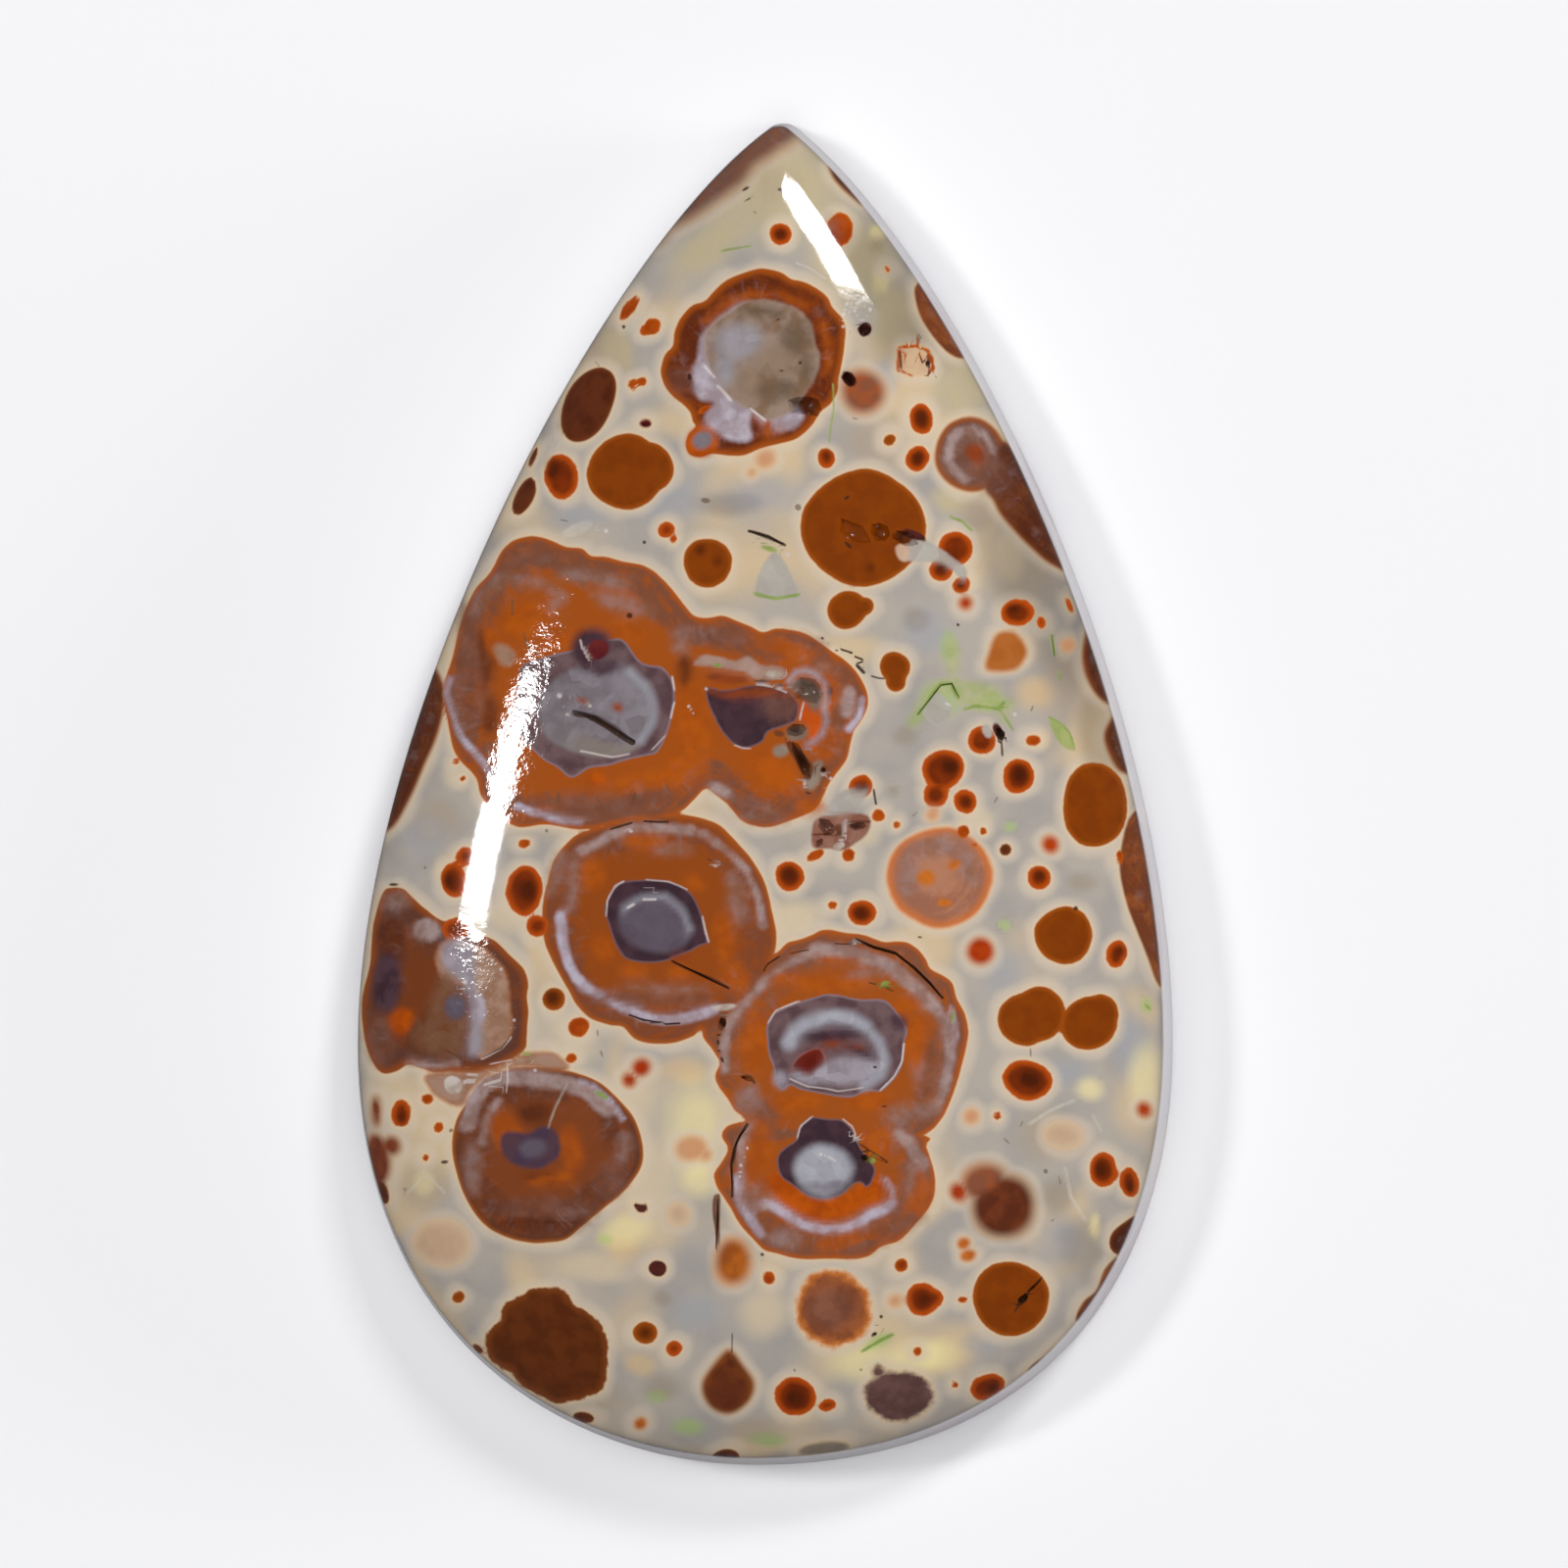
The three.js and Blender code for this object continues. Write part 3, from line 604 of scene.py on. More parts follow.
# rings and clouds inside the orbs
bands = {
    "lavender": [
        line(0.1, -10.12,3.7, -10.25,3.2, -10.05,2.5, -9.9,2, -9.4,1.35, -9,0.85, -8.75,0.5),
        line(0.11, -7.95,-0.35, -7.4,-0.6, -6.8,-0.8, -6,-0.85),
        line(0.17, -6.58,-3.9, -6.5,-4.4, -6.45,-5, -6.35,-5.4, -6.1,-5.9, -5.6,-6.3, -5.1,-6.6, -4.6,-6.88,
        -4,-7.1, -3.3,-7.22, -2.7,-7.25, -2.1,-7.12, -1.6,-6.92), line(0.09, 2.72,2.05, 3.05,2.45, 3.1,3),
        line(0.14, -0.95,-12.3, -0.85,-12.9, -0.6,-13.4, -0.35,-13.8, -0.1,-14.15),
        line(0.16, -0.05,-13.1, 0.3,-13.3, 0.7,-13.52, 1.2,-13.78, 1.9,-13.98, 2.6,-13.98, 3.1,-13.75,
        3.4,-13.5, 3.9,-13.3, 4.12,-13.1), line(0.08, 4.15,-13.05, 4.05,-12.7, 3.85,-12.4),
        line(0.1, -6,-9.25, -5.5,-9.45, -5,-9.85, -4.6,-10.4), line(0.1, -9.55,-10.3, -9.4,-9.8, -9.2,-9.45),
        line(0.06, 5.95,-6.9, 6.15,-7.8, 5.95,-8.7)],
    "dimLavender": [
        line(0.16, -5.9,-1.8, -5.3,-1.55, -4.9,-1.32, -4.3,-1.12, -3.5,-1.06, -2.9,-1.1, -2.3,-1.22),
        line(0.12, -2,-1.3, -1.5,-1.6, -1,-2, -0.6,-2.5, -0.35,-3.1, -0.2,-3.7, -0.1,-4.25),
        line(0.15, -1.3,-8.8, -1.3,-8.2, -1.2,-7.5, -0.9,-7, -0.5,-6.5, -0.1,-6.1, 0.4,-5.7, 1,-5.4,
        1.6,-5.12), line(0.24, 1.6,-5.12, 2.3,-5.02, 3,-5.2, 3.8,-5.5, 4.3,-5.8, 4.9,-6.3, 5.4,-6.9),
        line(0.17, 5.4,-6.9, 5.75,-7.4, 5.95,-7.9, 5.95,-8.6, 5.85,-9.2, 5.5,-9.9),
        line(0.14, -0.5,-10.7, -0.75,-11.3, -0.75,-12, -0.7,-12.6),
        line(0.2, 4.3,-11, 4.7,-11.2, 4.9,-11.6, 5.1,-11.9), (0, -13.2, 0.2, 0.2),
        line(0.24, -9.6,-10.6, -9.35,-9.75, -8.9,-9.3, -8.2,-9.12, -7.4,-9.1, -6.6,-9.22, -5.8,-9.55,
        -5.1,-10.1), line(0.14, -9.1,-11.2, -8.95,-10.4, -8.6,-9.9), (-10.9, -4.35, 0.45, 0.35),
        line(0.1, -11.5,-8.6, -10.6,-8.75, -9.9,-8.6), (-1.5, 0.1, 0.5, 0.2, -25), (2.65, 2.9, 0.25, 0.5)],
    "lilac": [
        line(0.16, 5.9,10.4, 5.85,10.95, 6.2,11.45, 6.8,11.5),
        line(0.2, -8.2,6.9, -7.2,6.8, -6.6,6.35, -6.9,5.95), line(0.18, -9.7,5, -9.2,6.2, -8.6,6.9),
        (-2.7, 4.9, 0.35, 0.4), (-4.6, 6.1, 1, 0.3, -18), (-5.5, 6.9, 1.2, 0.25, -8),
        (1.9, 3.9, 0.4, 0.3, -30), (-0.2, -0.65, 0.7, 0.3), (5.5, -1.75, 1.1, 0.35, 8),
        (6.5, -2.4, 0.3, 0.6, 20), (4.6, -2.6, 0.35, 0.8), (-6.75, -2.5, 0.25, 0.7, -15),
        (-6.2, -2.9, 0.2, 0.9, -6), (-0.95, -3.4, 0.3, 0.9, 10), (-3, -1.8, 0.6, 0.2), (-3.2, -6.3, 1.3, 0.2),
        (5, -8.9, 0.3, 0.5, -20), (4.3, -10.3, 0.5, 0.4), (5.1, -10.1, 0.5, 0.3), (4.7, -12.4, 0.3, 0.5),
        (0.7, -14.3, 0.5, 0.3), (-0.4, -12.9, 0.35, 0.5), (-0.55, -9.8, 0.4, 0.5), (-9.4, -12, 0.3, 0.8),
        (-4.5, -11.4, 0.25, 0.5), (-11.9, -3.4, 0.45, 0.35), (3.2, -5.8, 0.6, 0.2)],
    "brightOrange": [
        (-8.35, -10.75, 0.55, 0.6, 30), (-6.25, -11.4, 0.4, 0.7), (-6.9, -12.35, 0.8, 0.28, 10),
        line(0.13, -1.9,15.15, -1.2,15.75, -0.4,16.05, 0.5,16, 1.3,15.65),
        line(0.13, 1.9,15.1, 2.05,14.4, 2,13.6), (0.1, 11.95, 0.25, 0.5), (-7.6, 5.6, 0.9, 0.6),
        (-8.95, 5, 0.4, 0.5), (-6.4, 4.95, 0.9, 0.3), (-2.3, 2, 0.55, 1.6, 6), (-4.4, 5.2, 0.6, 0.3, -30),
        (0.4, 0.6, 1.2, 0.5, -35), (1.9, 1.6, 0.5, 0.6), (-2.6, 0.7, 0.7, 0.6), (0.9, 4.6, 0.8, 0.4, -10),
        (1.9, 3.4, 0.5, 0.8), (-3.9, 0.4, 1, 0.3, 10), (1.5, -0.4, 0.5, 0.3), (-4.2, -5.72, 0.45, 0.25),
        (-2.8, -5.72, 0.35, 0.2), (-5.2, -4.9, 0.3, 0.45, 20), (-2.3, -2.85, 0.35, 0.22, -20),
        (-3.9, -1.5, 0.7, 0.28), (-1.3, -4.6, 0.3, 0.9), (-5.6, -2.6, 0.4, 0.5), (-1, -5.9, 0.5, 0.5),
        (2.2, -6.1, 1.3, 0.28), (0.6, -5.95, 0.5, 0.25), (-0.3, -7.9, 0.45, 1.1), (4.5, -6.75, 0.45, 0.25),
        (4.9, -8.1, 0.4, 1), (1, -9.9, 0.9, 0.3), (3.4, -9.85, 0.8, 0.35), (2.4, -5.35, 0.7, 0.15),
        (-0.1, -11.3, 0.4, 0.9), (3.6, -11.2, 0.6, 0.5), (4.9, -12.8, 0.4, 0.8), (3, -14.3, 1.4, 0.3, 8),
        (-0.45, -12, 0.3, 0.8)],
    "glowOrange": [
        patch(0,-12.2, 0.1,-12.7, 0.5,-13.2, 1.1,-13.5, 1.9,-13.72, 2.6,-13.62, 3.1,-13.38, 3.7,-13.12,
        3.85,-12.7, 3.6,-12.2, 3.3,-12.4, 2.5,-12.9, 1.3,-12.8, 0.6,-12.2), (-5.4, 0.5, 0.3, 0.25),
        (-11.65, -7.3, 0.5, 0.45), (-2, 11.3, 0.52), (6.7, 10.7, 0.3), (-6.8, 4.85, 0.35, 0.15)],
    "mauveCloud": [
        (6.5, 10.8, 0.6, 0.55), (7.4, 10.1, 0.5, 0.6), (-7.4, 7.6, 1, 0.3), (-9.5, 4.6, 0.4, 1.6, 8),
        (-9.3, 3.2, 0.5, 0.9), (1.2, 4.85, 0.8, 0.2, -12), (-5.4, -0.3, 1.6, 0.4), (-1.5, 5, 1.2, 0.3, -8),
        (-0.2, -0.6, 0.9, 0.3, -20), (-3.6, -6.55, 1.9, 0.25), (3.9, -14.1, 1.4, 0.3, 24),
        (5.2, -8.9, 0.3, 1.2, -12), (-12.4, -7.9, 0.45, 0.8), (-7, -13.4, 1.6, 0.5), (-5, -12.4, 0.5, 0.6),
        (-2.8, 13.2, 0.3, 0.4)],
    "agate": [
        patch(-0.6,15.8, -1.3,15.5, -1.85,15.05, -2.1,14.6, -2.15,14, -2.35,13.5, -2.3,12.95, -2.05,12.65,
        -1.65,12.55, -1.95,12.2, -1.85,11.75, -1.4,11.4, -0.75,11.3, -0.45,11.5, -0.5,11.95, -0.35,12.25,
        -0.1,11.85, 0.4,11.62, 1,11.75, 1.25,12.2, 0.5,13.2, -0.2,14.5)],
    "greenGlow": [
        line(0.22, 4.75,2.3, 5.15,2.8, 5.6,3.3, 6.1,3.5, 6.5,3.05, 7.1,2.85, 7.8,2.75),
        line(0.12, 7.4,2.7, 7.8,2.3), (6, 4.4, 0.22, 0.6, 5), (6.9, 3.3, 0.7, 0.25, -15)],
    "deepBrown": [
        (-9.1, 4.4, 0.35, 1, 5), (-8.9, 2.6, 0.35, 0.7), (-2.6, 3.9, 0.25, 0.6), (-12, -4.6, 0.45, 0.7),
        (-10.7, -7.7, 0.9, 0.8), (-7.4, -10.2, 0.6, 0.4), (-7.2, -12.3, 0.6, 0.25), (-7.2, -13.7, 1.6, 0.4)],
}

# the orbs' cores, and the single spots
marks = {
    "crystal": [
        patch(-1.95,14.7, -1.75,15.1, -1.2,15.5, -0.6,15.82, 0,15.85, 0.4,15.75, 0.9,15.6, 1.25,15.4, 1.55,15,
        1.6,14.5, 1.75,14.1, 1.7,13.7, 1.5,13.2, 1.3,12.85, 1,12.4, 0.6,12.12, 0.1,12.02, -0.4,12.25,
        -0.9,12.5, -1.3,12.9, -1.6,13.4, -1.85,13.9)],
    "mauveGlass": [
        patch(-7.7,4.2, -7.3,4.3, -6.7,4.5, -6.2,4.65, -5.6,4.9, -5,4.95, -4.6,4.9, -4.1,4.3, -3.7,4.15,
        -3.35,4.1, -3.05,3.7, -2.9,3.1, -3,2.3, -3.2,1.8, -3.5,1.3, -3.9,1.2, -4.5,1.1, -5,0.95, -5.6,0.85,
        -6,0.6, -6.3,0.5, -6.7,0.85, -7.1,1.1, -7.4,1.4, -7.9,2, -8,3, -7.95,3.9),
        patch(0.05,-7.5, 0.2,-7.1, 0.6,-6.9, 1.1,-6.7, 1.7,-6.5, 2.1,-6.4, 2.6,-6.5, 3.1,-6.65, 3.8,-6.65,
        4.1,-6.85, 4.4,-7.2, 4.6,-7.6, 4.5,-8, 4.45,-8.5, 4.3,-8.9, 4,-9.3, 3.7,-9.55, 3.3,-9.5, 2.9,-9.7,
        2.4,-9.75, 1.8,-9.65, 1.2,-9.5, 0.8,-9.3, 0.55,-9.5, 0.35,-9.2, 0.3,-8.8, 0.15,-8.4, 0.1,-8)],
    "purple": [
        patch(-1.95,3.35, -1.8,3.42, -1.3,3.35, -0.3,3.47, 0.3,3.37, 0.75,3.27, 1.1,2.9, 1,2.4, 0.6,2.2,
        0.2,2.05, 0,1.9, -0.1,1.65, -0.5,1.45, -0.9,1.5, -1.3,1.9, -1.65,2.5, -1.85,2.9),
        patch(-4.55,-2.8, -4,-2.73, -3.5,-2.75, -3,-2.88, -2.5,-3.12, -2.2,-3.45, -2,-3.9, -1.9,-4.4,
        -1.8,-4.75, -2.1,-4.85, -2.4,-5, -2.9,-5.2, -3.2,-5.35, -3.7,-5.45, -4.2,-5.4, -4.55,-5.2, -4.85,-4.7,
        -5.05,-4.2, -5.2,-3.7, -5.05,-3.35, -4.8,-2.95),
        patch(1,-11.15, 1.02,-10.85, 1.2,-10.58, 1.5,-10.42, 2,-10.46, 2.4,-10.44, 2.72,-10.65, 2.88,-10.95,
        3,-11.3, 3.25,-11.7, 3.5,-12.05, 3.45,-12.45, 3.3,-12.68, 3.05,-12.5, 2.8,-12.6, 2.5,-12.85,
        1.9,-12.97, 1.3,-12.85, 0.9,-12.6, 0.55,-12.35, 0.42,-12, 0.45,-11.6, 0.7,-11.35)],
    "softPurple": [
        patch(-8.55,-11, -8.2,-10.8, -7.6,-10.85, -7.2,-10.65, -6.8,-10.75, -6.6,-11.2, -6.7,-11.65, -7.2,-12,
        -7.8,-11.95, -8.4,-11.6)],
    "plum": [(-12.2, -6.05, 0.45, 0.95)],
    "tanGlass": [
        patch(-10.35,-4.7, -9.9,-4.6, -9.4,-4.8, -8.9,-5.1, -8.4,-5.6, -8.2,-6.2, -8.15,-7, -8.15,-7.6,
        -8.5,-8.1, -9.1,-8.45, -9.3,-8.2, -9.35,-7.6, -9.3,-6.8, -9.6,-6.2, -10.3,-5.95, -10.6,-5.3)],
    "ochre": [
        (-4.5, 10.35, 1.22), (-3.75, 10.5, 0.8), (3.15, 8.5, 2, 1.86), (3.45, 8.9, 1.62, 1.4, -35),
        (2.65, 5.9, 0.62), (3.15, 5.98, 0.32), (4.2, 4.05, 0.5), (4.2, 3.6, 0.34), (10.6, -0.4, 1.05, 1.38),
        (9.6, -4.6, 0.92), (9.05, -4.4, 0.38), (8.3, -7.3, 0.84), (8.8, -7.1, 0.85), (10.4, -7.4, 0.88),
        (10.7, -7.1, 0.62), (7.9, -16.2, 1.25, 1.18), (-3.85, -17.3, 0.38, 0.35), (-6.8, -6.6, 0.36),
        (-9.9, -16.1, 0.2), (-1.83, 7.42, 0.8), (4, 11.3, 0.2, 0.17, 40)],
    "rust": [
        (-6.55, 10.2, 0.56, 0.7), (8.12, 5.78, 0.52, 0.44, -15), (8.88, 5.42, 0.13, 0.2, 15),
        (8.12, 0.55, 0.5, 0.57), (5.75, 0.75, 0.66), (5.5, -0.05, 0.42), (6.45, -0.3, 0.38),
        (0.82, -2.65, 0.47), (3.15, -3.82, 0.46, 0.4), (8.42, -9.2, 0.78, 0.63, -12),
        (0.95, -19.3, 0.68, 0.6), (7.15, -19, 0.6, 0.42, 15), (10.85, -12.1, 0.46, 0.58),
        (11.7, -12.5, 0.33, 0.46), (5.05, -16.2, 0.52), (5.35, -16.15, 0.35), (5.03, 12.02, 0.4, 0.48),
        (4.9, 10.75, 0.37, 0.42), (1.97, 10.78, 0.29, 0.32), (-3.15, 8.45, 0.28), (-2.92, 8.15, 0.14),
        (8.78, -2.7, 0.38), (6.1, 7.85, 0.56), (5.68, 7.2, 0.38), (6.33, 6.65, 0.28), (3.05, 0.22, 0.38),
        (6.95, 1.65, 0.46), (-7.75, -3.1, 0.58, 0.8), (-7.3, -4.2, 0.36), (11.3, -5.2, 0.33, 0.46),
        (-2.93, -17.75, 0.25), (-11.7, -10.25, 0.32, 0.45), (-10, -2.75, 0.42, 0.55), (-9.65, -2, 0.3),
        (1.98, -19.6, 0.28, 0.2), (-10, -4.3, 0.42, 0.38), (0.52, 17.98, 0.36)],
    "chestnut": [
        (-5.7, 12.5, 1.3, 0.75, 60), (-7.78, 9.55, 0.65, 0.3, 65), (7.7, -1.85, 0.2),
        (-12.3, -12.75, 0.18, 0.42, 20), (-1.3, -21.3, 0.45, 0.3), (-5.8, -20, 0.35, 0.18, -15),
        (-9.2, -17.8, 0.2, 0.1, -40), (8.8, -18.3, 0.5, 0.12, 40), (-7.45, 10.8, 0.09, 0.35, -25)],
    "darkSpot": [
        patch(-7.4,-15.8, -6.5,-15.9, -6.1,-16.4, -5.5,-16.7, -5.1,-17.3, -5.05,-18, -5.2,-19, -5.6,-19.3,
        -6.6,-19.5, -7.2,-19.3, -7.8,-19, -8.1,-18.6, -8.8,-18.1, -9,-17.5, -8.8,-17.1, -8.55,-16.8,
        -8.4,-16.35, -7.9,-16.1)],
    "redBead": [(-3.82, 11.87, 0.2, 0.14)],
    "maroon": [
        (-3.42, -15.25, 0.3, 0.26, -20),
        patch(-4.3,-13.1, -4,-13.15, -3.85,-13.1, -3.82,-13.35, -4,-13.4, -4.15,-13.35)],
    "orange": [
        (-4.35, 15.6, 0.5, 0.17, 55), (-3.6, 15.05, 0.27), (-3.85, 14.92, 0.17), (-4.3, 13.2, 0.15),
        (-4, 13.25, 0.15), (-4.25, 13.05, 0.1), (2.4, 18.1, 0.42, 0.55), (6.35, -1.25, 0.2), (7, -1.2, 0.12),
        (6.7, -1.65, 0.08), (2.2, -3.62, 0.16, 0.12), (4.35, -15.15, 0.22), (6.3, -16.25, 0.15, 0.1),
        (3.65, -0.75, 0.2), (4.25, -1, 0.12), (0.1, -15.5, 0.2), (-6.25, -8.45, 0.2, 0.16),
        (8.65, 1.7, 0.25, 0.18), (-10.9, -9.8, 0.2, 0.16), (-10.5, -10.65, 0.16), (4.88, -17.85, 0.15),
        (6.05, -18.95, 0.12), (9.75, 6, 0.1, 0.25, 20), (7.45, -10.35, 0.14), (-2, 12.35, 0.22, 0.1, 30),
        (-7.75, -1.6, 0.23, 0.14), (11.4, -2.1, 0.12, 0.25), (3.93, 16.78, 0.12, 0.08, -30),
        (-9.95, 1.1, 0.12), (-9.7, 0.5, 0.1), (-10.92, -11.62, 0.12), (-5.97, -7.45, 0.33),
        (1.6, -1.95, 0.3, 0.15, 30), (2.65, -2, 0.22), line(0.07, 4.32,14.3, 4.32,13.55)],
    "amber": [(6.4, -14.4, 0.2), (6.55, -14.8, 0.25, 0.2), (-4, -20.15, 0.2)],
    "peachGlass": [patch(4.4,14.3, 4.9,14.3, 5.2,14.2, 5.35,13.8, 5.3,13.45, 4.8,13.35, 4.45,13.5)],
    "tan": [patch(7.5,5.15, 8.1,5.1, 8.45,4.45, 8,3.9, 7.1,3.95, 7.15,4.5)],
    "blurRed": [
        (6.9, -5.1, 0.43), (9.2, -1.65, 0.28), (6.48, 6.05, 0.22), (-3.95, -8.75, 0.3), (-4.35, -9.15, 0.24),
        (12.15, -10.2, 0.25), (6.2, -12.8, 0.3)],
    "blurBrown": [(7.65, -13.25, 1.05, 1.05)],
    "teardrop": [
        patch(-1.2,-17.8, -0.7,-18.3, -0.35,-18.9, -0.5,-19.5, -1.1,-19.85, -1.75,-19.6, -2,-19,
        -1.75,-18.4)],
    "amberBlur": [(-1.05, -15, 0.6, 0.78)],
    "greyTan": [(1.9, -21, 0.8, 0.2, 5)],
    "rustBlur": [(-12.5, -11.7, 0.4, 0.85, 8), (-12.05, -11.3, 0.32), (-12.5, -10.15, 0.16, 0.5)],
    "emberBlur": [(3.15, 12.9, 0.74, 0.72), (7.05, -12.45, 0.75, 0.6, 20)],
    "faintOrange": [
        (-0.4, 10.33, 0.13), (5.35, -0.7, 0.2), (6.6, -10.4, 0.25), (4.2, -16.3, 0.2),
        (-2.4, -11.35, 0.5, 0.4), (-1.95, -11.6, 0.2), (9.75, 4.75, 0.2), (0, 10.75, 0.3)],
    "ghost": [(-10.4, -14.4, 0.9, 0.7), (-2.8, -13.5, 0.35), (9.6, -11, 0.6, 0.4)],
    "raggedBrown": [(2.2, -16.5, 1.24, 1.2)],
    "raggedMauve": [(4.3, -19.3, 1.08, 0.8, -5), (3.65, -18.55, 0.2)],
}

